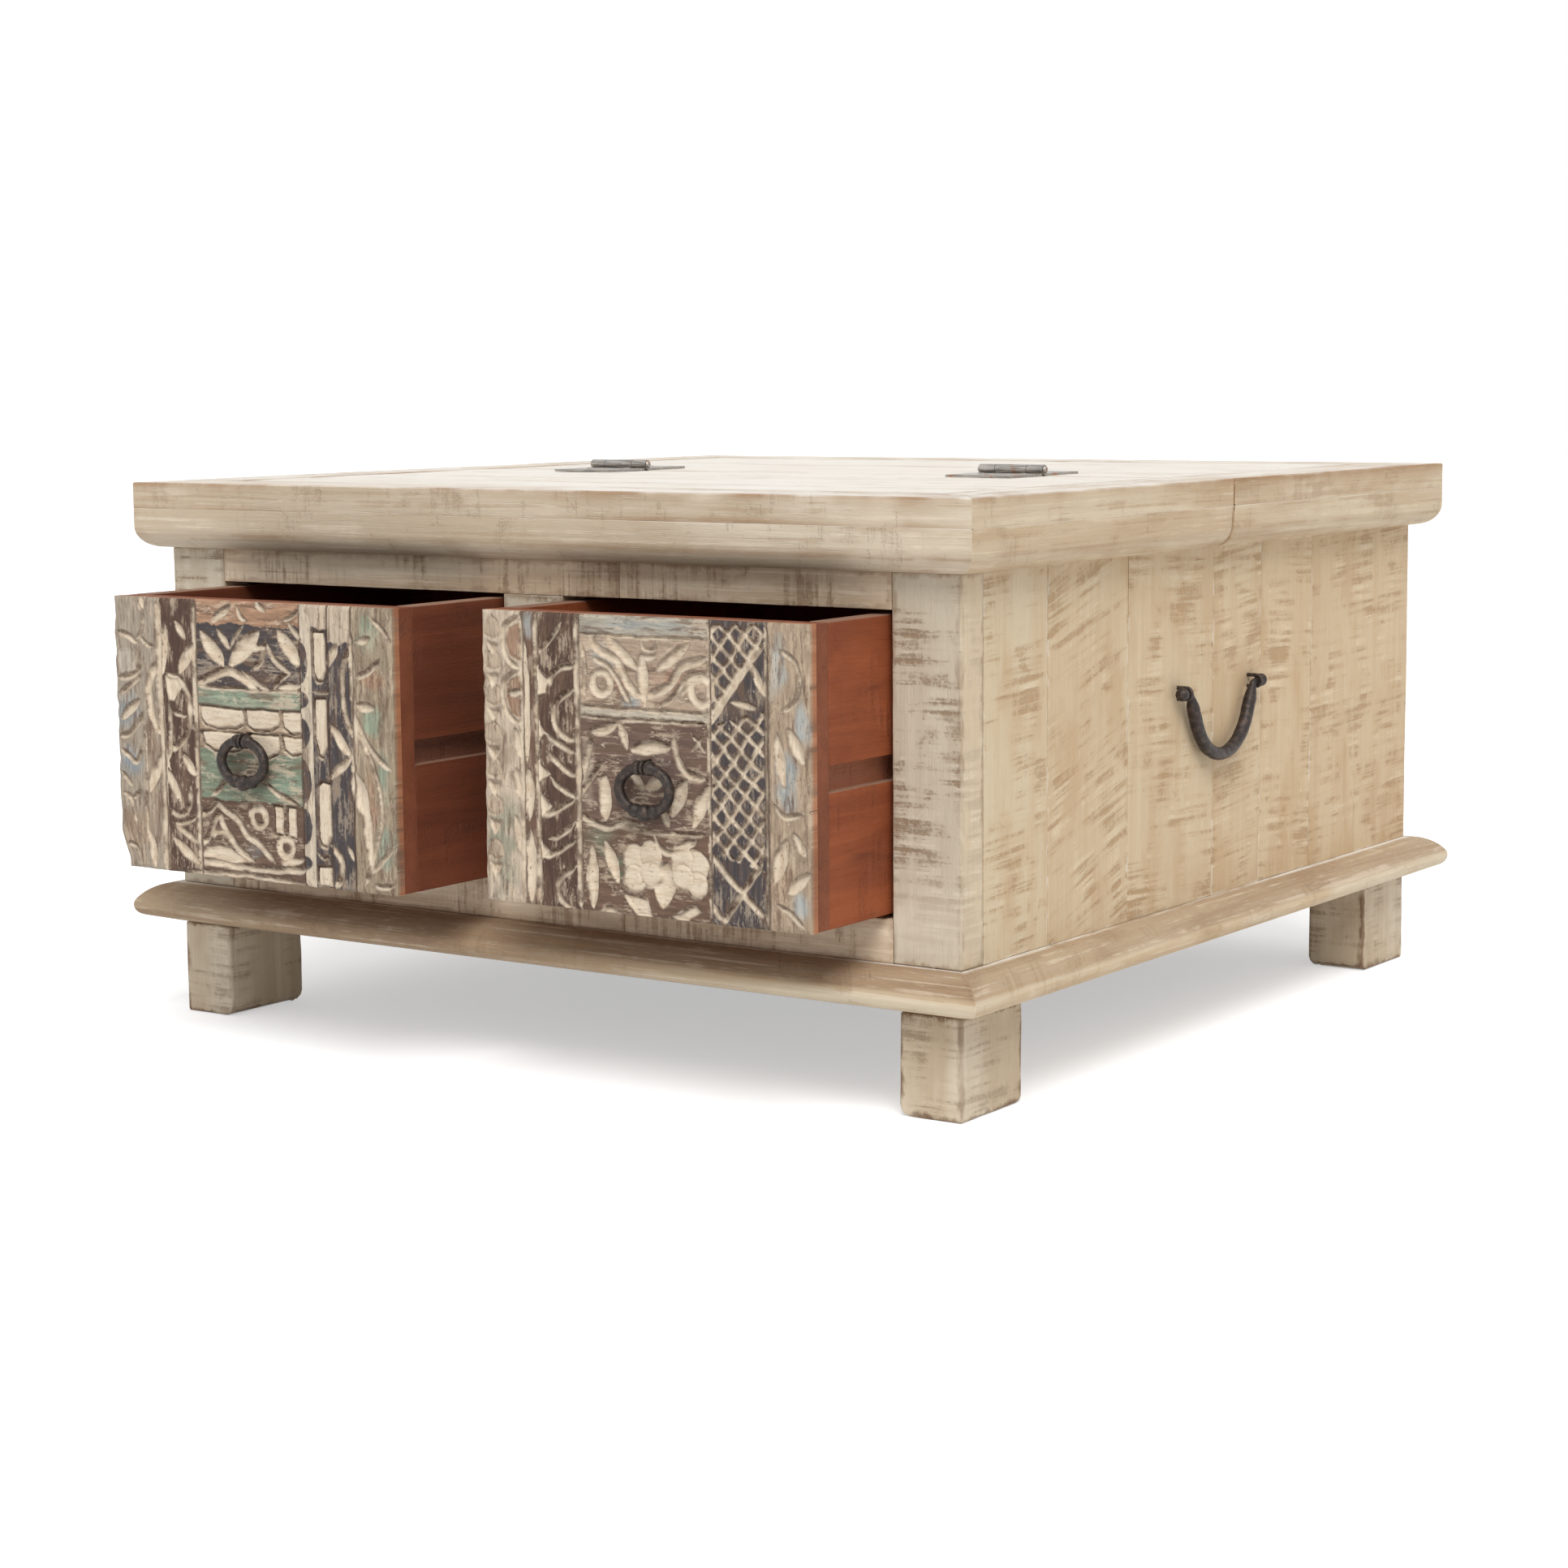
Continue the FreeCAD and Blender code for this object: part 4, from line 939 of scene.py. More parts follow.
class Finishes:
    """All the trunk's finishes, made once."""

    def __init__(self) -> None:
        """Makes every material."""
        wall_pale, wall_tan = (0.63, 0.515, 0.355), (0.53, 0.375, 0.22)
        chalky, chalky_tan = (0.86, 0.82, 0.755), (0.74, 0.66, 0.56)
        self.frame = BoardWood(
            "limed_frame", (0.615, 0.546, 0.43), (0.485, 0.401, 0.288), (0.27, 0.175, 0.105), saw=0.8,
            worn=0.65, filler=0.1, bands=0.4, mark_from=0.51, second=(wall_pale, wall_tan)).make()
        self.rail = BoardWood(
            "limed_rail", (0.71, 0.59, 0.445), (0.54, 0.405, 0.275), (0.23, 0.125, 0.065), streaks=1.0,
            saw=0.5, bands=0.4, lines=0.5, mark_from=0.515).make()
        self.walls = BoardWood(
            "limed_walls", wall_pale, wall_tan, (0.40, 0.24, 0.115), streaks=0.4, worn=0.06, filler=0.35,
            bands=0.5, mark_from=0.53, patches=0.7,
            second=((0.60, 0.455, 0.285), (0.50, 0.335, 0.185))).make()
        self.top = BoardWood(
            "limed_top", chalky, chalky_tan, (0.47, 0.35, 0.24), streaks=0.55, saw=0.1, worn=0.4,
            knots=0.25, lines=0.25).make()
        edges = BoardWood(
            "limed_edges", (0.69, 0.60, 0.47), (0.545, 0.44, 0.315), (0.33, 0.185, 0.09), streaks=1.0,
            saw=0.06, worn=0.9, knots=0.6, patches=0.7, lines=0.5, second=(chalky, chalky_tan))
        self.edges = edges.make()
        self.edges_warm = replace(
            edges, name="warm_edges", pale=(0.63, 0.52, 0.37), tan=(0.50, 0.37, 0.235)).make()
        # The second colours, darker and browner, lie on the runs' upper faces and on the front run towards
        # the left, where they are partly painted shade from the drawers.
        self.base = BoardWood(
            "limed_base", (0.67, 0.575, 0.43), (0.54, 0.395, 0.24), (0.33, 0.185, 0.09), streaks=1.0,
            saw=0.08, worn=0.6, knots=0.8, patches=0.7, lines=0.45,
            second=((0.44, 0.33, 0.22), (0.32, 0.215, 0.13))).make()
        self.feet = BoardWood(
            "limed_feet", (0.655, 0.565, 0.435), (0.49, 0.38, 0.255), (0.21, 0.13, 0.075), saw=0.4,
            worn=1.0, patches=0.7, bands=0.3, mark_from=0.525).make()
        raw = BoardWood(
            "raw_boards_x", (0.36, 0.25, 0.15), (0.27, 0.175, 0.10), (0.16, 0.095, 0.05), saw=0.5,
            worn=0.0, lime=0.05, along=Axis.X)
        self.raw_x = raw.make()
        self.raw_y = replace(raw, name="raw_boards_y", along=Axis.Y).make()
        stain = BoardWood(
            "stained_boards", (0.292, 0.076, 0.025), (0.19, 0.044, 0.015), (0.085, 0.022, 0.010),
            streaks=0.9, saw=0.15, worn=0.0, knots=0.8, lime=0.0, patches=0.8, fibres=0.05,
            second=((0.30, 0.17, 0.115), (0.22, 0.115, 0.075)))
        self.stain = stain.make()
        # A darker copy of the stain: partly darker wood, partly painted shade for the left drawer's sides,
        # which stand in the right drawer's shade, and for the drawers' backs and bottoms inside.
        self.stain_dark_and_shaded = replace(
            stain, name="dark_and_shaded_stained_boards", pale=(0.17, 0.046, 0.019), tan=(0.105, 0.027, 0.012)).make()
        self.stain_edge = BoardWood(
            "stained_front", (0.22, 0.068, 0.03), (0.15, 0.043, 0.019), (0.06, 0.018, 0.009), saw=0.3,
            worn=0.1, knots=0.6, lime=0.03).make()
        self.paint = CarvedPaint().make()
        self.iron = ForgedIron().make()
        self.steel = HingeSteel().make()


def dress_nodes(finish: bpy.types.Material, *nodes: str) -> None:
    """Gives nodes that keep their own shape a finish.

    Args:
        finish: The material.
        nodes: The nodes' names.
    """
    for node in nodes:
        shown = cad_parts[node]
        for slot in shown.material_slots:
            slot.material = finish
        if not shown.material_slots:
            shown.data.materials.append(finish)
        log.info("%s keeps its shape, in %s", node, finish.name)


def bent(points: Outline, spacing: float = 2.0) -> Array:
    """A smooth line through points.

    Args:
        points: The points that it passes.
        spacing: Greatest length of one of its short runs.

    Returns:
        Points close together along the line.
    """
    knots = np.array([points[0], *points, points[-1]], float)
    line = [knots[1]]
    for a, b, c, d in zip(knots, knots[1:], knots[2:], knots[3:]):
        runs = max(1, math.ceil(np.linalg.norm(c - b) / spacing))
        for t in np.linspace(0.0, 1.0, runs + 1)[1:]:
            line.append(0.5 * (2.0 * b + (c - a) * t + (2.0 * a - 5.0 * b + 4.0 * c - d) * t * t
                               + (3.0 * b - a - 3.0 * c + d) * t ** 3))
    return np.array(line)


@dataclass(frozen=True)
class Stroke:
    """One cut of the carver along points, in millimetres from the facing's upper left corner."""

    points: Outline
    width: float = 0.0
    paint: Colour | None = None

    def depth(self, x: Array, y: Array) -> Array:
        """Depth of the cut at places on the facing."""
        raise NotImplementedError

    def share(self, x: Array, y: Array, depth: Array) -> Array:
        """Share of the ground that the cut takes up."""
        return ease((depth - 0.1) / 0.6)

    def region(self) -> Region:
        """The box that the stroke stays in: left, upper, right, lower."""
        line = bent(self.points)
        return *(line.min(axis=0) - self.width), *(line.max(axis=0) + self.width)


@dataclass(frozen=True)
class Leaf(Stroke):
    """A gouged leaf from one point to the other, pointed at both."""

    bow: float = 0.0

    def depth(self, x: Array, y: Array) -> Array:
        """Depth of the gouge.

        Args:
            x: Places across the facing.
            y: Places down it.

        Returns:
            The depth at each place.
        """
        first, last = np.array(self.points)
        length = np.linalg.norm(last - first)
        way = (last - first) / length
        along = ((x - first[0]) * way[0] + (y - first[1]) * way[1]) / length
        belly = np.sin(math.pi * np.clip(along, 0.0, 1.0))
        aside = (y - first[1]) * way[0] - (x - first[0]) * way[1] - self.bow * belly
        half = np.maximum(0.5 * self.width * belly ** 0.65, 1e-6)
        deepest = min(3.4, 1.2 + 0.17 * self.width)
        return deepest * np.clip(1.0 - (aside / half) ** 2, 0.0, 1.0) ** 0.8 * belly ** 0.4


@dataclass(frozen=True)
class Groove(Stroke):
    """A gouged line through points, tapered at both ends."""

    def depth(self, x: Array, y: Array) -> Array:
        """Depth of the gouge.

        Args:
            x: Places across the facing.
            y: Places down it.

        Returns:
            The depth at each place.
        """
        line = bent(self.points)
        runs = np.linalg.norm(np.diff(line, axis=0), axis=1)
        reach = np.concatenate([[0.0], np.cumsum(runs)])
        taper = min(7.0, 0.3 * reach[-1])
        deepest = min(2.9, 0.8 + 0.4 * self.width)
        total = np.zeros(x.shape)
        for a, b, run, passed in zip(line, line[1:], runs, reach):
            way = (b - a) / max(run, TINY)
            along = np.clip((x - a[0]) * way[0] + (y - a[1]) * way[1], 0.0, run)
            gap = np.hypot(x - a[0] - along * way[0], y - a[1] - along * way[1])
            left = np.minimum(passed + along, reach[-1] - passed - along)
            full = 0.3 + 0.7 * ease(left / taper)
            hollow = np.clip(1.0 - (gap / (0.5 * self.width * full)) ** 2, 0.0, 1.0)
            total = np.maximum(total, deepest * full * hollow)
        return total


@dataclass(frozen=True)
class Band(Stroke):
    """A ring round its point, cut with a round gouge."""

    hole: float = 0.0

    def depth(self, x: Array, y: Array) -> Array:
        """Depth of the gouge at places on the facing."""
        away = np.hypot(x - self.points[0][0], y - self.points[0][1])
        middle, half = (self.width + self.hole) / 4.0, (self.width - self.hole) / 4.0
        return 2.3 * np.clip(1.0 - ((away - middle) / half) ** 2, 0.0, 1.0)


@dataclass(frozen=True)
class Plate(Stroke):
    """A shape with straight sides: cut down flat, left standing between cuts, or left in its paint."""

    level: float = 1.9
    border: float = 0.0

    def inward(self, x: Array, y: Array) -> Array:
        """How far places lie inside the shape, below nothing outside it.

        Args:
            x: Places across the facing.
            y: Places down it.

        Returns:
            Distances from the shape's edge.
        """
        nearest = np.full(x.shape, np.inf)
        inside = np.full(x.shape, False)
        for (ax, ay), (bx, by) in zip(self.points, self.points[1:] + self.points[:1]):
            run = math.hypot(bx - ax, by - ay)
            along = np.clip(((x - ax) * (bx - ax) + (y - ay) * (by - ay)) / run ** 2, 0.0, 1.0)
            nearest = np.minimum(nearest, np.hypot(x - ax - along * (bx - ax), y - ay - along * (by - ay)))
            if ay != by:
                inside ^= ((y < ay) != (y < by)) & (x < ax + (y - ay) * (bx - ax) / (by - ay))
        return np.where(inside, nearest, -nearest)

    def depth(self, x: Array, y: Array) -> Array:
        """Depth of the shape's ground at places on the facing."""
        return self.border + (self.level - self.border) * ease(self.inward(x, y) / 2.6)

    def share(self, x: Array, y: Array, depth: Array) -> Array:
        """Share of the ground that the shape takes up."""
        return ease(0.5 + self.inward(x, y) / 1.2)


@dataclass(frozen=True)
class Lattice(Stroke):
    """Two sets of crossing grooves inside a shape with straight sides."""

    width: float = 3.0
    falling: float = 10.3
    falling_turn: float = 42.0
    rising: float = 11.4
    rising_turn: float = -51.5

    def depth(self, x: Array, y: Array) -> Array:
        """Depth of the grooves.

        Args:
            x: Places across the facing.
            y: Places down it.

        Returns:
            The depth at each place.
        """
        inside = np.full(x.shape, True)
        for (ax, ay), (bx, by) in zip(self.points, self.points[1:] + self.points[:1]):
            inside &= (bx - ax) * (y - ay) - (by - ay) * (x - ax) >= 0.0
        total = np.zeros(x.shape)
        falling = (math.radians(self.falling_turn), self.falling, self.width)
        rising = (math.radians(self.rising_turn), self.rising, 1.25 * self.width)
        for turn, spacing, width in (falling, rising):
            aside = y * math.cos(turn) - x * math.sin(turn)
            wander = 0.5 * np.sin(0.11 * x + 0.5 * spacing) + 0.4 * np.sin(0.17 * y)
            gap = np.abs((aside + wander) % spacing - spacing / 2.0)
            total = np.maximum(total, 2.0 * np.clip(1.0 - (gap / (0.5 * width)) ** 2, 0.0, 1.0))
        return np.where(inside, total, 0.0)


def paired(row: Row) -> Outline:
    """Points from a row of x and y in turn."""
    return tuple(zip(row[::2], row[1::2]))


def grooves(*rows: Row) -> tuple[Groove, ...]:
    """Gouged lines, each from a row of its width and its points."""
    return tuple(Groove(paired(row[1:]), row[0]) for row in rows)


def leaves(*rows: Row) -> tuple[Leaf, ...]:
    """Gouged leaves, each from a row of its two ends, its width and its bow."""
    return tuple(Leaf(paired(row[:4]), row[4], None, *row[5:]) for row in rows)


def bands(*rows: Row) -> tuple[Band, ...]:
    """Gouged rings, each from a row of its middle, its width and that of its hole."""
    return tuple(Band(paired(row[:2]), row[2], hole=row[3]) for row in rows)


def sunken(*rows: Row) -> tuple[Plate, ...]:
    """Shapes cut down flat, each from a row of its corners."""
    return tuple(Plate(paired(row)) for row in rows)


def standing(*rows: Row) -> tuple[Plate, ...]:
    """Bare blocks left standing as low pillows between deep cuts, each from a row of its corners."""
    return tuple(Plate(paired(row), level=0.2, border=3.0) for row in rows)


def petals(*rows: Row) -> tuple[Plate, ...]:
    """Round petals that swell softly and run together, each from a row of its middle and its radius."""
    outlines = (arc_points(row[:2], 1.16 * row[2], 0.0, 330.0, 12) for row in rows)
    return tuple(Plate(tuple(outline), level=0.4, border=1.5) for outline in outlines)


def half_discs(edge: float, reach: float, spans: tuple[Span, ...], paint: Colour) -> tuple[Plate, ...]:
    """Painted half discs along an upright edge.

    Args:
        edge: Where the edge is.
        reach: How far they stand out from it.
        spans: Upper and lower end of each.
        paint: Their paint.

    Returns:
        One plate for each.
    """
    discs = []
    for upper, lower in spans:
        middle, half = (upper + lower) / 2.0, (lower - upper) / 2.0
        turns = [math.pi * k / 8 for k in range(9)]
        outline = tuple((edge + reach * math.sin(t), middle - half * math.cos(t)) for t in turns)
        discs.append(Plate(outline, paint=paint, level=0.1, border=0.6))
    return tuple(discs)


@dataclass(frozen=True)
class Coat:
    """Old paint from a corner on, over what lies right of it and below, with the share that has flaked."""

    corner: Point2
    right: float
    paint: Colour
    flake: float
    level_grain: bool = False


@dataclass(frozen=True)
class Wash:
    """A soft patch of another colour."""

    centre: Point2
    reach: Point2
    paint: Colour


CHARCOAL: Colour = (0.064, 0.053, 0.054)
UMBER: Colour = (0.085, 0.049, 0.035)
RUSSET: Colour = (0.33, 0.21, 0.14)
SAGE: Colour = (0.265, 0.295, 0.215)

LEFT_CARVING: tuple[Stroke, ...] = (
    *grooves((3, 24, 2, 31, 14, 29, 27, 23, 33)),
    *sunken((27, 0, 34, 0, 33, 10, 28, 7)),
    *grooves((5, 2, 27, 13, 30, 25, 36), (4, 27, 30, 35, 36, 43, 38)),
    Plate(((3, 41), (22, 40), (23, 57), (4, 60)), paint=(0.44, 0.385, 0.315), level=0.8),
    *grooves(
        (5, 1, 64, 18, 62, 29, 51), (4.5, 2, 78, 19, 67, 29, 60), (4.5, 1, 110, 14, 106, 24, 97, 29, 89),
        (4, 1, 119, 11, 124, 20, 129, 27, 117), (4, 1, 137, 8, 142, 15, 149),
        (4, 1, 155, 11, 157, 16, 169, 17, 179), (3.5, 14, 159, 23, 151), (4, 2, 194, 12, 195, 15, 205),
        (2.5, 30, 95, 31, 130, 29, 165, 31, 200), (7.5, 46, 49, 37, 64, 35.5, 80, 39, 94, 46, 106),
        (7, 48, 0, 47.5, 60, 50, 120, 49, 213), (5.5, 55, 58, 70, 62, 79, 78, 78, 98, 70, 110, 57, 118),
    ),
    *leaves(
        (3, 97, 26, 79, 8), (33, 152, 47, 122, 10), (31, 182, 37, 212, 9), (55, 18, 51.5, 60, 8.5),
        (66, 17, 77, 31, 7), (69, 58, 85, 32, 10.5),
    ),
    *sunken((54, 60, 67, 60, 73, 68, 63, 79, 57, 78)),
    *grooves(
        (4.5, 57, 78, 58.5, 98, 57, 118, 53, 126, 57, 134), (3.5, 60, 88, 68, 89, 77, 90),
        (5, 54, 163, 66, 167, 76, 159, 78, 145), (5, 57, 175, 70, 173, 85, 165),
        (5, 58, 177, 71, 181, 85, 188), (5, 86, 0, 85.5, 70, 86, 140, 86, 213),
        (4, 131, 2, 134, 9, 142, 15), (3, 176, 14, 189, 9, 197, 0), (3.2, 123, 37, 129, 27, 139, 18),
        (5, 145, 52, 155, 43, 160, 28), (5, 161, 31, 170, 44, 185, 52),
        (7, 87, 65, 104, 58, 121, 53, 136, 58, 150, 65), (5, 135, 53, 149, 60, 163, 66),
        (5, 166, 66, 174, 57, 185, 52), (3, 86, 66.5, 140, 66.5, 197, 66),
    ),
    *leaves(
        (70, 118, 83, 136, 8), (52, 133, 67, 158, 9.5), (57, 186, 84, 204, 9.5), (103, 17, 126, 2, 7, 1),
        (149, -1, 161, 7, 5), (92, 24, 117, 50, 14), (122, 50, 154, 21, 16), (143, 36, 159, 33, 5),
        (172, 20, 194, 46, 14), (110, 21, 123, 37, 6), (184, 15, 197, 28, 5), (171, 64, 196, 61, 7),
    ),
    *standing(
        (88, 81, 134, 81, 136.5, 88, 135, 94, 127, 98, 108, 99.5, 95, 97, 89, 90),
        (136, 81, 171, 81, 173, 88, 171, 94, 163, 98.5, 145, 99, 138, 95),
        (173, 81, 195, 81, 195, 97, 184, 99, 176, 95),
        (89, 100, 135, 100, 138, 107, 135, 112, 125, 115.5, 104, 116, 93, 111),
        (138, 100, 171, 100, 173, 108, 170, 115, 160, 119, 147, 117, 140, 109),
        (173, 100, 195, 99, 195, 112, 184, 115, 176, 111),
    ),
    *grooves(
        (4, 154, 137, 172, 145, 191, 152), (3.5, 98, 151, 106, 146, 115, 137),
        (5.5, 85, 167, 97, 162, 104, 155, 113, 160, 126, 167, 136, 178, 149, 184, 164, 197),
        (6, 87, 191, 97, 179, 105.5, 165, 114, 177, 129, 191, 142, 198),
        (4, 98.5, 187, 102, 179, 108, 176.5, 115, 180, 118, 188),
    ),
    *sunken((88, 198, 93, 189, 104, 187, 117, 188, 127, 193, 138, 199, 112, 202)),
    *bands((148, 163, 21, 8)),
    *standing((163, 153, 174, 153, 174, 177, 164, 177), (177, 153, 187, 153, 187, 178, 177, 178)),
    *bands((175.5, 184.5, 20, 7)),
    *grooves((6, 84, 201, 140, 203, 197, 200), (4, 72, 211, 130, 209, 196, 212)),
    *leaves((170, 197, 195, 192, 7)),
    *half_discs(194.5, 8.5, ((28, 60), (65, 79), (85, 108), (115, 150), (153, 181), (189, 200)), CHARCOAL),
    *standing(
        (207.5, 20, 220.5, 19, 221, 48, 217, 57, 211, 57, 207.5, 50),
        (207.5, 69, 220.5, 69, 220.5, 104, 216, 115, 211, 113, 207.5, 100),
        (209, 135, 214, 131, 222, 132, 223, 172, 218, 182, 212, 181, 209, 174),
        (207.5, 196, 222, 195, 222, 213, 207.5, 213),
    ),
    *grooves(
        (2.5, 206, 64.5, 216, 65.5, 227, 64), (2.5, 207, 186, 214, 190, 221, 187),
        (5.5, 244, 29, 237.5, 48, 237.5, 72, 245, 97), (6, 222, 179, 230, 187, 232, 200, 224, 212),
        (6, 246, 18, 247, 60, 248.5, 95, 246, 127), (5, 247, 77, 257, 97, 270, 110, 283, 119),
        (4, 249, 91, 263, 112, 272, 135, 273, 160, 263, 188, 255, 208), (4.5, 248, 53, 262, 48, 277, 37),
        (4, 261, 198, 272, 188, 284, 175), (4, 262, 205, 273, 207, 284, 205), (4, 265, 7, 277, 15, 284, 24),
    ),
    *leaves(
        (223, 45, 232, 27, 8), (222, 87, 245, 113, 8.5), (221, 129, 245, 112, 8), (238, 178, 244, 189, 4),
        (246, 122, 258, 156, 16), (249, 73, 269, 74, 7), (251, 26, 266, 22, 6), (256, 128, 262, 198, 9),
    ),
)
SCALES: Row = (20, 43.5, 68.5, 97, 122, 149.5, 181.5)
RIGHT_CARVING: tuple[Stroke, ...] = (
    *(Plate(((3, y - 12), (9, y - 16), (15, y - 12), (17, y - 2), (9, y + 1), (1, y - 2)),
            paint=(0.46, 0.36, 0.265), level=0.0, border=1.2) for y in SCALES),
    *(Plate(((2, y + 2), (16, y + 3), (13, y + 9), (8.5, y + 14), (5, y + 9)), level=2.4)
      for y in SCALES),
    Plate(((24, 12), (35, 8), (35, 36), (25, 33), (21, 22)), paint=RUSSET, level=0.2, border=0.9),
    Plate(((24, 50), (35, 46), (35, 78), (25, 74), (21, 62)), paint=RUSSET, level=0.2, border=0.9),
    *grooves(
        (4.5, 35, 3, 22, 10, 18.5, 22, 23, 35, 35, 41), (4.5, 35, 41, 22, 49, 17.5, 62, 23, 75, 35, 82),
        (4.5, 36, 0, 35.5, 100, 36, 213), (5, 49.5, 0, 50, 100, 50, 213),
    ),
    *leaves(
        (22, 61, 36, 58, 5.5), (29, 84, 33, 106, 7.5), (29, 114, 33, 137, 7), (28, 148, 32, 176, 7),
        (39, 20, 40, 110, 8), (41, 112, 41.5, 152, 10), (42, 156, 42, 212, 10),
    ),
    *sunken(
        (50, 38, 61, 47, 58, 58, 50, 60), (50, 78, 57, 86, 50, 95), (50, 106, 62, 116, 50, 124),
        (51, 130, 62, 140, 52, 149), (50, 166, 60, 172, 51, 179),
    ),
    *grooves(
        (4.5, 56, 86, 70, 94, 85, 101), (4.5, 58, 100, 71, 109, 85, 117), (4.5, 61, 118, 72, 126, 84, 132),
        (4.5, 52, 148, 68, 141, 85, 131), (4.5, 59, 164, 71, 158, 84, 149),
        (4.5, 53, 177, 68, 171, 85, 162), (4, 49, 32, 60, 21, 73, 7), (5, 85, 38, 73, 38, 64, 44, 61, 55),
        (5.5, 85, 54, 69, 62, 65, 75, 71, 86, 85, 92), (5, 84, 181, 70, 189, 67, 204, 80, 212),
        (5, 86.5, 0, 86.5, 110, 87, 213), (2.4, 88, 13.5, 145, 14.5, 200, 13),
    ),
    *bands((108, 48, 22, 9), (195.5, 49.5, 25, 11)),
    *grooves(
        (7, 97, 14, 105, 24, 122, 32, 132, 48, 145, 57), (4, 99, 30, 113, 35, 122, 45, 134, 62),
        (7, 200, 27, 179, 34, 168, 47, 148, 57), (4, 200, 37, 183, 42, 173, 53, 158, 63),
        (3, 143, 14, 145, 20.5, 151.5, 22.5, 157, 20.5, 160, 14), (4, 91, 20, 94, 39, 92, 61),
        (3, 174, 56, 183, 48, 187, 37), (2.6, 88, 65, 145, 66, 201, 65), (2.6, 88, 72.5, 145, 73, 201, 72),
        (6, 172, 81, 173, 95, 182, 107, 199, 112), (5.5, 86, 124, 93, 105, 99, 87),
        (4.5, 86, 131, 97, 118, 107, 103), (5.5, 86, 143, 98, 148, 112, 151, 128, 146, 145, 148),
        (2.6, 186, 79, 199, 94), (2.6, 198, 80, 187, 93),
    ),
    *leaves(
        (144, 24, 146.5, 64, 10), (140, 27, 159, 26, 5, 1.5), (113, 14, 142, 37, 9, 1),
        (186, 16, 156, 37, 9, -1), (133, 95, 169, 91, 11.5, -1.5), (110, 112, 110, 148, 12.5),
        (168, 140, 182, 111, 12), (131, 108, 145, 123, 8), (146, 122, 164, 112, 9), (124, 75, 130, 95, 8),
        (96, 84, 123, 76, 8.5, 1.5), (187, 146, 200, 115, 12), (157, 130, 167, 148, 6.5),
        (163, 171, 160.5, 205, 20),
    ),
    *petals(
        (136.5, 173, 10.5), (135, 186.5, 9), (188, 173, 10.5), (189.5, 186.5, 8.5), (149, 168, 9),
        (176.5, 169, 9), (149, 182, 8.5), (177, 182, 8.5),
    ),
    *grooves((4.5, 153, 153, 158, 163, 171.5, 164.5, 190, 154)),
    *leaves((172, 162, 191, 154, 7), (109, 160, 121, 190, 11), (98, 165, 98, 211, 11)),
    *sunken(
        (125, 197, 147, 199, 151, 213, 136, 213), (164, 212, 188, 199, 193, 205, 180, 213),
        (101, 213, 113, 206, 127, 213),
    ),
    *grooves(
        (2.6, 88, 150.5, 115, 149, 148, 152, 200, 150), (4.5, 249, 13, 225, 43, 201, 74),
        (5, 200.5, 162, 223, 183, 248, 205), (5, 211, 213, 228, 189, 246, 166),
        (4.5, 200.5, 196, 206.5, 202.5, 213, 210),
    ),
    *leaves((237, 27, 249, 51, 7), (220, 57, 245, 59, 5)),
    Lattice(((202.5, 2), (248, 2), (248, 12.5), (202.5, 71))),
    Lattice(((202.5, 73), (248, 61.5), (248, 172), (202.5, 160))),
    *grooves(
        (3.5, 202.5, 0, 202, 110, 202.5, 213), (3.5, 250.5, 0, 251, 110, 250.5, 213),
        (4, 260, 19, 273, 25, 278, 39, 274, 53, 262, 61), (4, 255, 124, 264, 132, 281, 129),
        (4, 257, 194, 268, 198, 281, 209),
    ),
    *leaves(
        (267, 71, 281, 96, 10), (258, 75, 265, 114, 8.5), (256, 180, 266, 148, 12), (271, 143, 283, 159, 7),
        (267, 186, 285, 170, 9.5),
    ),
)
LEFT_COATS: tuple[Coat, ...] = (
    Coat((0, 0), 49, (0.345, 0.285, 0.22), 0.5),
    Coat((49, 0), 86, UMBER, 0.75),
    Coat((86, 0), 194.5, (0.36, 0.215, 0.135), 0.8, True),
    Coat((86, 18), 194.5, CHARCOAL, 0.6, True),
    Coat((86, 66), 194.5, SAGE, 1.0, True),
    Coat((86, 81), 194.5, (0.33, 0.24, 0.165), 0.8, True),
    Coat((86, 114), 194.5, (0.20, 0.235, 0.165), 0.9, True),
    Coat((86, 152), 194.5, (0.13, 0.08, 0.056), 0.7, True),
    Coat((194.5, 0), 206.5, (0.58, 0.49, 0.375), 0.5),
    Coat((206.5, 0), 222.5, (0.52, 0.42, 0.32), 0.6),
    Coat((206.5, 17), 222.5, CHARCOAL, 0.5),
    Coat((222.5, 0), 246, (0.50, 0.41, 0.31), 0.6),
    Coat((222.5, 28), 246, CHARCOAL, 0.5),
    Coat((246, 0), 286, (0.31, 0.245, 0.17), 0.45),
)
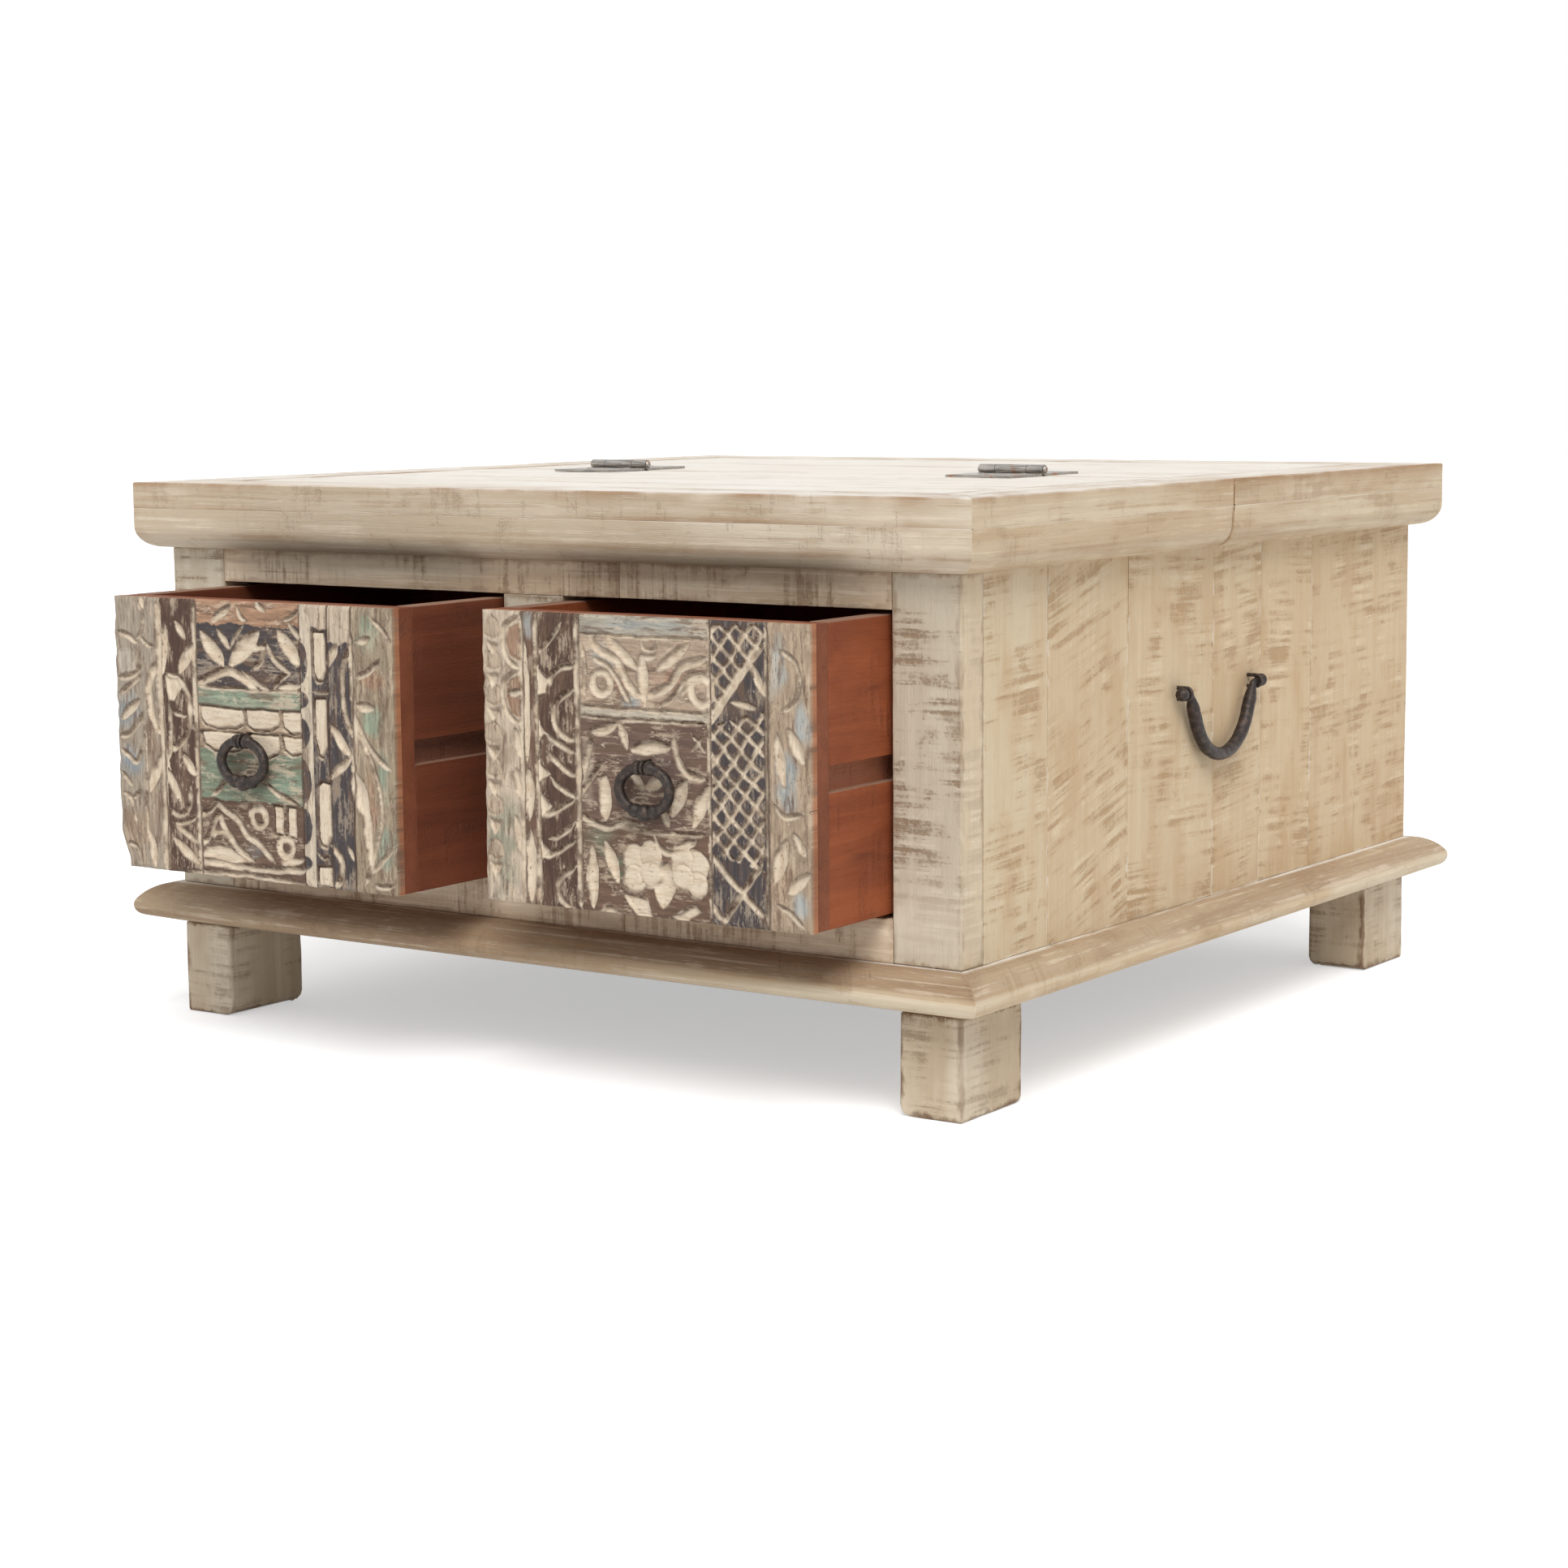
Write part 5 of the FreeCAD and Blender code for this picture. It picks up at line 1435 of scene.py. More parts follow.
LEFT_WASHES: tuple[Wash, ...] = (
    Wash((13, 85), (17, 20), (0.255, 0.275, 0.28)),
    Wash((13, 130), (14, 14), (0.245, 0.27, 0.285)),
    Wash((38, 120), (9, 60), (0.27, 0.19, 0.135)),
    Wash((20, 182), (24, 24), (0.32, 0.23, 0.16)),
    Wash((70, 150), (14, 30), (0.14, 0.085, 0.062)),
    Wash((262, 18), (12, 16), (0.27, 0.31, 0.225)),
    Wash((268, 52), (12, 12), (0.33, 0.20, 0.13)),
    Wash((266, 84), (10, 12), (0.29, 0.335, 0.245)),
    Wash((275, 124), (8, 20), (0.27, 0.31, 0.23)),
    Wash((264, 150), (8, 26), (0.34, 0.21, 0.135)),
    Wash((274, 175), (9, 20), (0.29, 0.325, 0.25)),
    # Painted shade: darkens the ground seen through the left ring pull.
    Wash((140, 131), (27, 13), (0.155, 0.105, 0.078)),
    Wash((180, 138), (18, 12), (0.24, 0.30, 0.22)),
    Wash((120, 74), (18, 7), (0.27, 0.33, 0.24)),
    Wash((142, 190), (10, 6), (0.20, 0.22, 0.225)),
)
RIGHT_COATS: tuple[Coat, ...] = (
    Coat((0, 0), 36, (0.52, 0.425, 0.325), 0.6),
    Coat((36, 0), 50, (0.15, 0.09, 0.062), 0.55),
    Coat((50, 0), 88, UMBER, 0.75),
    Coat((88, 0), 202, (0.38, 0.345, 0.28), 0.8, True),
    Coat((88, 13), 202, (0.40, 0.30, 0.22), 0.9, True),
    Coat((88, 65), 202, (0.50, 0.44, 0.345), 0.7, True),
    Coat((88, 72), 202, (0.15, 0.095, 0.072), 0.75, True),
    Coat((88, 149), 202, (0.145, 0.088, 0.06), 0.75, True),
    Coat((202, 0), 250.5, CHARCOAL, 0.55),
    Coat((250.5, 0), 286, (0.38, 0.285, 0.20), 0.5),
)
RIGHT_WASHES: tuple[Wash, ...] = (
    Wash((14, 165), (18, 40), (0.29, 0.28, 0.205)),
    Wash((12, 100), (14, 20), (0.34, 0.25, 0.18)),
    Wash((42, 8), (6, 10), (0.36, 0.36, 0.335)),
    Wash((140, 6), (34, 4), (0.33, 0.33, 0.305)),
    Wash((112, 28), (12, 9), (0.36, 0.345, 0.31)),
    Wash((172, 44), (22, 12), (0.37, 0.225, 0.155)),
    Wash((128, 48), (10, 8), (0.36, 0.225, 0.16)),
    Wash((135, 60), (10, 5), (0.33, 0.335, 0.325)),
    Wash((94, 110), (7, 30), (0.40, 0.33, 0.25)),
    Wash((150, 105), (26, 14), (0.19, 0.13, 0.11)),
    Wash((104, 160), (14, 12), (0.19, 0.185, 0.13)),
    Wash((122, 182), (14, 10), (0.14, 0.155, 0.105)),
    Wash((226, 60), (20, 12), (0.125, 0.085, 0.066)),
    Wash((260, 30), (8, 24), (0.38, 0.38, 0.345)),
    Wash((266, 110), (10, 22), (0.34, 0.365, 0.36)),
    Wash((279, 70), (7, 14), (0.36, 0.375, 0.36)),
    Wash((262, 178), (12, 24), (0.34, 0.235, 0.16)),
    Wash((277, 192), (8, 14), (0.35, 0.37, 0.36)),
)
LEFT_SEAMS: Row = (49.0, 86.0, 194.5, 222.5, 246.0)
RIGHT_SEAMS: Row = (36.0, 88.0, 202.0, 250.5)


def blurred(ground: Array, cells: int) -> Array:
    """A grid of values smoothed over a square of cells, twice over.

    Args:
        ground: The values on the grid.
        cells: Cells to each side of the middle one.

    Returns:
        The smoothed values.
    """
    for axis in (0, 1, 0, 1):
        room = [(cells + 1, cells) if axis == other else (0, 0) for other in (0, 1)]
        total = np.cumsum(np.pad(ground, room, mode="edge"), axis=axis)
        count = ground.shape[axis]
        ahead = np.take(total, np.arange(count) + 2 * cells + 1, axis=axis)
        ground = (ahead - np.take(total, np.arange(count), axis=axis)) / (2 * cells + 1)
    return ground


@dataclass(frozen=True)
class Facing:
    """The reclaimed carved blocks on a drawer's front."""

    node: str
    seams: Row
    coats: tuple[Coat, ...]
    washes: tuple[Wash, ...]
    carving: tuple[Stroke, ...]
    worn_corner: float
    seed: int
    corner_size: Point2 = (40.0, 34.0)
    pitch: float = 0.75
    deepest: float = 4.4
    hand_reach: float = 1.6
    grain_apart: float = 40.0
    block_levels: Row = (0.35, 0.1, 0.55, 0.2, 0.5, 0.15)
    pale_relief: float = 0.36
    wall_places: Row = (0.62, 1.0)
    end_stain: Colour = (0.36, 0.15, 0.075)
    end_flake: float = 0.12

    def scatter(self, x: Array, y: Array, cell: float, number: int) -> Array:
        """Smooth chance over the facing, between minus one and one."""
        flat = np.stack([x, y, np.zeros_like(x)], axis=-1).reshape(-1, 3)
        return lattice_noise(flat, cell, self.seed + number).reshape(x.shape)

    def unsteady(self, x: Array, y: Array, number: int) -> Array:
        """How far the carver's hand strays, in one direction."""
        return 0.8 * self.scatter(x, y, 11.0, number) + 0.35 * self.scatter(x, y, 4.0, number + 1)

    def slip(self, x: Array, y: Array, height: float) -> Array:
        """How far the worn lower left corner of a front of some height draws back to the right."""
        across, down = self.corner_size
        return self.worn_corner * ease((y - height + down) / down) * ease(1.0 - x / across)

    def paint_over(self, x: Array, y: Array) -> dict[str, Array]:
        """Lays the coats and washes on the ground.

        Args:
            x: Places across the facing.
            y: Places down it.

        Returns:
            The paint, flake and grain values.
        """
        ragged = self.scatter(x, y, 9.0, 0)
        wandering = y + 1.6 * ragged + self.scatter(x, y, 3.5, 9)
        paint, flake, grain = np.zeros((*x.shape, 3)), np.zeros(x.shape), np.zeros((*x.shape, 3))
        for number, coat in enumerate(self.coats):
            left, upper = coat.corner
            inside = (x >= left) & (x <= coat.right) & ((wandering >= upper) | (upper == 0))
            paint[inside] = coat.paint
            flake[inside] = coat.flake
            along, across = (x, y) if coat.level_grain else (y, x)
            way = np.stack([along, across, np.zeros_like(x)], axis=-1) + self.grain_apart * number
            grain[inside] = way[inside]
        for wash in self.washes:
            dx, dy = (x - wash.centre[0]) / wash.reach[0], (y - wash.centre[1]) / wash.reach[1]
            share = 0.9 * ease(1.25 - np.hypot(dx, dy) + 0.4 * ragged)[..., None]
            paint = paint * (1.0 - share) + np.array(wash.paint) * share
        return {"paint": paint, "flake": flake, "grain": grain * MM}

    def carve(self, xs: Array, ys: Array, paint: Array) -> tuple[Array, Array]:
        """Cuts the strokes by an unsteady hand.

        Args:
            xs: Grid places across the facing.
            ys: Grid places down it.
            paint: The paint on the ground, which takes on that of the strokes.

        Returns:
            Depth of the ground, and the share of it that the cuts have bared.
        """
        x, y = np.meshgrid(xs, ys)
        hand_x, hand_y = x + self.unsteady(x, y, 5), y + self.unsteady(x, y, 7)
        uneven = 1.0 + 0.22 * self.scatter(x, y, 6.0, 1)
        depth, bared = np.zeros(x.shape), np.zeros(x.shape)
        for stroke in self.carving:
            left, upper, right, lower = stroke.region()
            box = (slice(*np.searchsorted(ys, (upper - self.hand_reach, lower + self.hand_reach))),
                   slice(*np.searchsorted(xs, (left - self.hand_reach, right + self.hand_reach))))
            taken = stroke.depth(hand_x[box], hand_y[box])
            share = stroke.share(hand_x[box], hand_y[box], taken)
            if isinstance(stroke, Plate):
                depth[box] = depth[box] * (1.0 - share) + taken * uneven[box] * share
            else:
                depth[box] = np.maximum(depth[box], taken * uneven[box])
            if stroke.paint is None:
                bared[box] = np.maximum(bared[box], share)
            else:
                bared[box] *= 1.0 - share
                paint[box] += (np.array(stroke.paint) - paint[box]) * share[..., None]
        return depth, bared

    def aged(self, x: Array, y: Array, depth: Array, bared: Array, paint: Array) -> dict[str, Array]:
        """Paints shade, with some grime, into the hollows, along the rims of the cuts and on slopes that
        face down, and lightens slopes that face up as rubbed paint and painted highlight.

        Args:
            x: Places across the facing.
            y: Places down it.
            depth: Depth of the ground.
            bared: Share of it that the cuts have bared.
            paint: The paint on it.

        Returns:
            The painted shade and grime, and the cut values.
        """
        patchy = self.scatter(x, y, 7.0, 10) + 0.6 * self.scatter(x, y, 2.6, 11)
        rim = 1.0 - np.abs(2.0 * blurred(bared, 1) - 1.0)
        hollow = depth - blurred(depth, 4)
        fall = np.gradient(blurred(depth, 1), self.pitch, axis=0)
        # Slopes that face down get painted shade; slopes that face up get a painted highlight, partly
        # rubbed paint.
        underside_shade, rub_and_highlight = ease((fall - 0.15) / 0.5), ease((-fall - 0.2) / 0.5)
        # Painted shade, with some grime, along the rims of the cuts and in the hollows.
        grime_and_shade = 1.1 * rim * ease(0.55 + patchy) + 0.8 * ease((hollow - 0.8) / 0.9)
        pale = ease((paint.mean(axis=-1) - 0.18) / 0.16)
        shaded = np.clip(grime_and_shade * (1.0 - 0.6 * rub_and_highlight) + 0.75 * underside_shade, 0.0, 1.0)
        # Paint worn back from the cuts, and a painted highlight on slopes that face up.
        worn = np.maximum(0.9 * ease((blurred(bared, 2) + 0.25 * patchy - 0.52) / 0.25), 0.85 * rub_and_highlight)
        return {"crease": shaded * (1.0 - self.pale_relief * pale), "cut": np.maximum(bared, worn)}

    def weathered(self, x: Array, y: Array, depth: Array, crease: Array) -> Array:
        """Sets the blocks at their own levels, opens the seams between them and chips the rim.

        Args:
            x: Places across the facing.
            y: Places down it.
            depth: Depth of the carved ground.
            crease: The painted shade and grime, which the dark seams add to.

        Returns:
            Depth of the old ground.
        """
        block = np.searchsorted(self.seams, x)
        depth = depth + np.array(self.block_levels)[block % len(self.block_levels)]
        for seam in self.seams:
            gap = np.abs(x - seam - 0.25 * np.sin(0.13 * y + seam))
            depth = np.maximum(depth, 1.8 * np.clip(1.0 - gap, 0.0, 1.0))
            np.maximum(crease, 0.9 * ease(1.3 - gap), out=crease)
        depth += 0.22 * (1.0 + self.scatter(x, y, 11.0, 2) + 0.5 * self.scatter(x, y, 3.2, 3))
        rim = np.minimum(np.minimum(x, x.max() - x), np.minimum(y, y.max() - y))
        chipped = 1.0 + 0.9 * self.scatter(x, y, 7.0, 4)
        return depth + 1.1 * chipped * ease(1.0 - rim / (1.4 + chipped))

    def draft(self) -> Draft:
        """Carves the facing and closes it behind.

        Returns:
            The draft with the values that the carved paint reads.
        """
        low, high = corners_of(self.node)
        width, thick, height = high - low
        xs, ys = (np.linspace(0.0, size, round(size / self.pitch) + 1) for size in (width, height))
        x, y = np.meshgrid(xs, ys)
        values = self.paint_over(x, y)
        depth, bared = self.carve(xs, ys, values["paint"])
        values |= self.aged(x, y, depth, bared, values["paint"])
        depth = self.weathered(x, y, depth, values["crease"])
        sunk = low[1] + np.clip(depth, 0.0, self.deepest)
        front = np.stack([low[0] + x + self.slip(x, y, height), sunk, high[2] - y], axis=-1)
        index = np.arange(x.size).reshape(x.shape)
        loop = np.concatenate([index[0, :-1], index[:-1, -1], index[-1, :0:-1], index[:0:-1, 0]])
        source = np.concatenate([index.ravel(), *(loop for _ in self.wall_places)])
        points = front.reshape(-1, 3)[source]
        points[x.size:, 1] = low[1] + thick * np.repeat(self.wall_places, len(loop))
        carried = {key: value.reshape(x.size, *value.shape[2:])[source] for key, value in values.items()}
        ends = {"paint": self.end_stain, "flake": self.end_flake, "crease": 0.0, "cut": 0.0}
        for key, value in ends.items():
            carried[key][x.size:] = value
        rings = np.vstack([loop, np.arange(x.size, len(source)).reshape(-1, len(loop))])
        walls = grid_quads(np.hstack([rings, rings[:, :1]]))
        return Draft(points, [*grid_quads(index).tolist(), *walls.tolist(), rings[-1].tolist()], carried)


def softened(corners: list[Point2], radii: list[float]) -> Outline:
    """A section with eased corners and extra points beside each corner.

    Args:
        corners: Corners of the section, one after the other.
        radii: Radius of each corner; 0 leaves a point as it is.

    Returns:
        The points of the finished section.
    """
    places = np.array(corners, float)
    befores, afters = np.roll(places, 1, axis=0), np.roll(places, -1, axis=0)
    points: list[Array] = []
    for before, here, after, radius in zip(befores, places, afters, radii):
        if radius == 0.0:
            points.append(here)
            continue
        room_back, room_on = np.linalg.norm(before - here), np.linalg.norm(after - here)
        back, on = (before - here) / room_back, (after - here) / room_on
        points += [here + back * reach for reach in (8.0, 3.5) if reach < 0.45 * room_back]
        for share in (0.0, 0.33, 0.67, 1.0):
            points.append(here + radius * (back * (1.0 - share) ** 2 + on * share ** 2))
        points += [here + on * reach for reach in (3.5, 8.0) if reach < 0.45 * room_on]
    return tuple((float(p[0]), float(p[1])) for p in points)


@dataclass(frozen=True)
class Stand:
    """The four feet, the mitred base moulding and the floor of the body."""

    foot_round: float = 2.6
    foot_corner: float = 11.0
    foot_step: float = 4.0
    reach: float = 408.0
    low: float = 76.0
    high: float = 109.0
    nose: float = 9.0
    nose_height: float = 15.0
    slope: float = 15.5
    run: float = 27.0
    projection: float = 30.0
    width: float = 90.0
    chalk_out: float = 1.5
    stain_and_shade_to: float = 330.0

    def section(self) -> Outline:
        """The base moulding's section: it slopes up to a round nose, and a broad arc leads back.

        Returns:
            The section's points, inset and height.
        """
        drop = self.high - self.low - self.nose_height
        reach = self.run - self.nose
        broad = (reach ** 2 + drop ** 2 - self.nose ** 2) / (2.0 * (drop - self.nose))
        meet = 180.0 - math.degrees(math.atan2(broad - drop, reach))
        upper = arc_points((self.run, self.high - broad), broad, 90.0, meet, 9)
        nose = arc_points((self.nose, self.low + self.nose_height), self.nose, meet, 270.0 - self.slope, 10)
        inset, height = nose[-1]
        heel = (inset + (height - self.low) / math.tan(math.radians(self.slope)), self.low)
        joint = [(self.projection + gap, self.high) for gap in (6.0, 2.5, -0.5)]
        return ((self.width, self.high), *joint, *upper, *nose[1:], heel, (self.width, self.low))

    def foot(self, node: str, seed: int) -> Draft:
        """Draws a foot, its lower corners rounded off towards the middle of the trunk.

        Args:
            node: The foot's node.
            seed: Picks its wear.

        Returns:
            The draft.
        """
        draft = Board.of_node(node, Axis.Z, seed, radius=self.foot_round, step=self.foot_step).draft()
        low, high = corners_of(node)
        under = self.foot_corner - (draft.points[:, 2] - low[2])
        for axis in (0, 1):
            inner, outer = sorted((low[axis], high[axis]), key=abs)
            way = math.copysign(1.0, outer - inner)
            short = self.foot_corner - np.abs(draft.points[:, axis] - inner)
            reach = np.hypot(short, under)
            beyond = (short > 0.0) & (under > 0.0) & (reach > self.foot_corner)
            share = self.foot_corner / reach[beyond]
            draft.points[beyond, axis] = inner + way * (self.foot_corner - share * short[beyond])
            draft.points[beyond, 2] = low[2] + self.foot_corner - share * under[beyond]
        return draft

    def build(self, finishes: Finishes) -> None:
        """Builds the stand's pieces.

        Args:
            finishes: The trunk's finishes.
        """
        for number, (depth, side) in enumerate(itertools.product(("front", "back"), Side)):
            node = f"foot_{depth}_{side.word}"
            draft = self.foot(node, 11 + 7 * number)
            draft.piece(f"{node}_worn", finishes.feet, "carcass", "limed_wood", node)
        edges = (("front", Axis.X, -1), ("back", Axis.X, 1), ("left", Axis.Y, -1), ("right", Axis.Y, 1))
        for number, (word, along, sign) in enumerate(edges):
            node = f"base_moulding_{word}"
            ends, mitres = (-self.reach, self.reach), (True, True)
            run = Run(self.section(), along, ends, sign * self.reach, -sign, mitres, 41 + 5 * number,
                      chalk_inset=self.projection - self.chalk_out)
            draft = run.draft()
            # The front run darkens towards the left: partly a brown stain, partly painted shade from the
            # drawers above it.
            if word == "front":
                draft.raise_to("second", ease((self.stain_and_shade_to - draft.points[:, 0]) / self.reach))
            draft.piece(f"{node}_run", finishes.base, "carcass", "limed_wood", node)
        dress_nodes(finishes.raw_x, "bottom_boards")


@dataclass(frozen=True)
class FaceFrame:
    """The stiles and rails round the two drawer openings."""

    opening: Span = (141.0, 360.0)
    outer_stile: float = 57.0
    half: float = 378.0
    splice: float = 82.0
    stile_round: float = 1.6
    rail_round: float = 0.9
    wiped_below: float = 195.0
    wiped_over: float = 60.0
    wiped_side: float = 0.75

    def build(self, finishes: Finishes) -> None:
        """Builds the frame's pieces.

        Args:
            finishes: The trunk's finishes.
        """
        low, high = corners_of("front_stile_left")
        inner = self.half - self.outer_stile
        for number, side in enumerate(Side):
            node = f"front_stile_{side.word}"
            stile = Board.of_node(node, Axis.Z, 61 + 4 * number, radius=self.stile_round).draft()
            foot = ease((self.wiped_below - stile.points[:, 2]) / self.wiped_over)
            stile.values["wiped"] = np.maximum(foot, self.wiped_side * stile.values["second"])
            stile.piece(f"{node}_board", finishes.frame, "carcass", "limed_wood", node)
        rails = (("top", self.opening[1], high[2], 71), ("bottom", low[2], self.opening[0], 75))
        for word, floor, top, seed in rails:
            node = f"front_rail_{word}"
            ends = (np.array([-inner, low[1], floor]), np.array([inner, high[1], top]))
            boards = parted(*ends, Axis.X, [self.splice])
            draft = row_of_boards(boards, Axis.X, seed, radius=self.rail_round)
            draft.piece(f"{node}_board", finishes.rail, "carcass", "limed_wood", node)
        node = "front_stile_middle"
        half = abs(corners_of(node)[0][0])
        floor, top = self.opening
        post = Board((-half, low[1], floor), (half, high[1], top), Axis.Z, 81, radius=self.rail_round)
        post.draft().piece(f"{node}_board", finishes.frame, "carcass", "limed_wood", node)


@dataclass(frozen=True)
class Walls:
    """The plank walls, and the boards inside that part the drawers from the chest."""

    side_seams: Row = (-258.0, -137.0, 3.0, 87.0, 181.0)
    back_planks: int = 5
    slants: Row = (3.0, 17.0, -2.0, 4.0, -3.0, 2.0)
    warmths: Row = (0.0, 0.35, 0.25, 0.5, 0.8, 0.7)
    plank_round: float = 0.4
    plank_wobble: float = 0.3

    def planks(self, boards: list[Corners], seed: int) -> Draft:
        """A wall of upright planks, each sawn at its own slant.

        Args:
            boards: The lowest and highest corner of each plank.
            seed: Seed of the first plank.

        Returns:
            One draft of the wall.
        """
        drafts = []
        for number, ((low, high), slant, warmth) in enumerate(zip(boards, self.slants, self.warmths)):
            plank = Board(low, high, Axis.Z, seed + SEED_STEP * number, radius=self.plank_round,
                          wobble=self.plank_wobble, slant=slant)
            drafts.append(plank.draft().fill("second", warmth))
        return Draft.join(drafts)

    def build(self, finishes: Finishes) -> None:
        """Builds the walls' pieces.

        Args:
            finishes: The trunk's finishes.
        """
        for number, side in enumerate(Side):
            node = f"side_planks_{side.word}"
            draft = self.planks(parted(*corners_of(node), Axis.Y, [*self.side_seams]), 91 + 31 * number)
            draft.piece(f"{node}_row", finishes.walls, "carcass", "limed_wood", node)
        node = "back_planks"
        low, high = corners_of(node)
        draft = self.planks(parted(low, high, Axis.X, even_cuts(low[0], high[0], self.back_planks)), 171)
        draft.piece(f"{node}_row", finishes.walls, "carcass", "limed_wood", node)
        dress_nodes(finishes.raw_x, "chest_partition")
        dress_nodes(finishes.raw_y, "drawer_divider", *(f"drawer_runners_{side.word}" for side in Side))


@dataclass(frozen=True)
class HalfTop:
    """One half of the top: planks in mitred edge boards over a rounded moulding."""

    prefix: str
    body: str
    outer_edge: str
    ends: Span
    seed: int
    half: float = 400.0
    moulding: Span = (387.0, 419.0)
    moulding_width: float = 70.0
    moulding_wear: Span = (0.0, 395.0)
    moulding_line: float = 399.0
    round_under: float = 17.0
    board: Span = (419.0, 440.0)
    board_width: float = 62.0
    board_wear: Span = (430.0, 1000.0)
    board_line: float = 420.0
    seam_round: float = 0.5
    end_round: float = 0.8
    free_end_round: float = 5.0
    planks: int = 4
    plank_round: float = 0.6
    plank_wobble: float = 0.3

    def moulding_section(self) -> Outline:
        """The moulding's section: upright above, rounded under.

        Returns:
            The section's points, inset and height.
        """
        low, high = self.moulding
        under = arc_points((self.round_under, low + self.round_under), self.round_under, 180.0, 270.0, 10)
        corners = [(self.moulding_width, high), (0.0, high), *under, (self.moulding_width, low)]
        return softened(corners, [0.0, self.seam_round] + [0.0] * (len(under) + 1))

    def board_section(self) -> Outline:
        """The edge board's section with its worn upper arris.

        Returns:
            The section's points, inset and height.
        """
        low, high = self.board
        corners = [(self.board_width, high), (0.0, high), (0.0, low), (self.board_width, low)]
        return softened(corners, [0.5, 1.5, self.seam_round, 0.0])

    def build(self, finishes: Finishes) -> None:
        """Builds this half's pieces.

        Args:
            finishes: The trunk's finishes.
        """
        front = self.outer_edge == "front"
        runs = (
            (self.outer_edge, Axis.X, (-self.half, self.half), -1.0 if front else 1.0, (True, True)),
            ("left", Axis.Y, self.ends, -1.0, (front, not front)),
            ("right", Axis.Y, self.ends, 1.0, (front, not front)),
        )
        for number, (word, along, ends, sign, mitres) in enumerate(runs):
            level, seed = along is Axis.X, self.seed + 7 * number
            free = self.body == "carcass" and not level
            place = (along, ends, sign * self.half, -sign, mitres)
            moulding = Run(
                self.moulding_section(), *place, seed, under_round=free,
                rounding=self.free_end_round if free else self.end_round,
                worn_heights=self.moulding_wear, worn_line=self.moulding_line if level else None)
            board = Run(
                self.board_section(), *place, seed + SEED_STEP, rounding=self.end_round,
                worn_heights=self.board_wear, worn_line=self.board_line if level else None)
            finish = finishes.edges if level else finishes.edges_warm
            for part, run in ((f"moulding_{word}", moulding), (f"{word}_board", board)):
                node = f"{self.prefix}_{part}"
                run.draft().piece(f"{node}_run", finish, self.body, "limed_wood", node)
        node = f"{self.prefix}_planks"
        low, high = corners_of(node)
        boards = parted(low, high, Axis.Y, even_cuts(low[1], high[1], self.planks))
        draft = row_of_boards(
            boards, Axis.X, self.seed + 40, radius=self.plank_round, wobble=self.plank_wobble)
        draft.piece(f"{node}_row", finishes.top, self.body, "limed_wood", node)
        if self.body == "lid":
            dress_nodes(finishes.raw_y, "lid_battens")
        else:
            dress_nodes(finishes.raw_x, "fixed_top_batten")


@dataclass(frozen=True)
class Hinges:
    """The two butt hinges, and the screws in their leaves."""

    centres: Span = (-200.0, 200.0)
    axis_y: float = -6.0
    leaf_top: float = 442.0
    spread: float = 20.0
    near: float = 16.0
    far: float = 44.0
    screw_radius: float = 3.3
    screw_rings: Row = (0.08, 0.22, 0.4, 0.58, 0.76, 0.92, 1.0)
    screw_sides: int = 28
    screw_sunk: float = 0.8
    slot_half: float = 0.42
    slot_depth: float = 0.45

    def screw(self, x: float, y: float, turn: float) -> Draft:
        """A slotted screw head, slightly domed.

        Args:
            x: Place across the trunk.
            y: Place along it.
            turn: Angle of the slot in degrees.

        Returns:
            The draft.
        """
        turns = np.linspace(0.0, 2.0 * math.pi, self.screw_sides, endpoint=False)
        slot = math.radians(turn)
        rows = []
        for ring in self.screw_rings:
            px, py = ring * self.screw_radius * np.cos(turns), ring * self.screw_radius * np.sin(turns)
            aside = np.abs(py * math.cos(slot) - px * math.sin(slot))
            dome = 0.55 * (1.0 - ring ** 2) + 0.1
            height = self.leaf_top + dome - self.slot_depth * ease(1.5 - aside / self.slot_half)
            rows.append(np.stack([x + px, y + py, height], axis=1))
        skirt = rows[-1].copy()
        skirt[:, 2] = self.leaf_top - self.screw_sunk
        rows.append(skirt)
        return Draft(np.concatenate(rows), tube_faces(len(rows), self.screw_sides))

    def build(self, finishes: Finishes) -> None:
        """Builds the screws and dresses the leaves and pins.

        Args:
            finishes: The trunk's finishes.
        """
        dress_nodes(finishes.steel, "hinge_fixed_leaves", "hinge_lid_leaves", "hinge_pins")
        holes = ((-self.spread, self.near), (self.spread, self.near), (0.0, self.far))
        for word, body, sign in (("fixed", "carcass", -1.0), ("lid", "lid", 1.0)):
            places = enumerate(itertools.product(self.centres, holes))
            screws = [self.screw(centre + aside, self.axis_y + sign * away, 37.0 * number + 12.0)
                      for number, (centre, (aside, away)) in places]
            Draft.join(screws).piece(f"hinge_{word}_screws", finishes.steel, body, "hinge_steel")


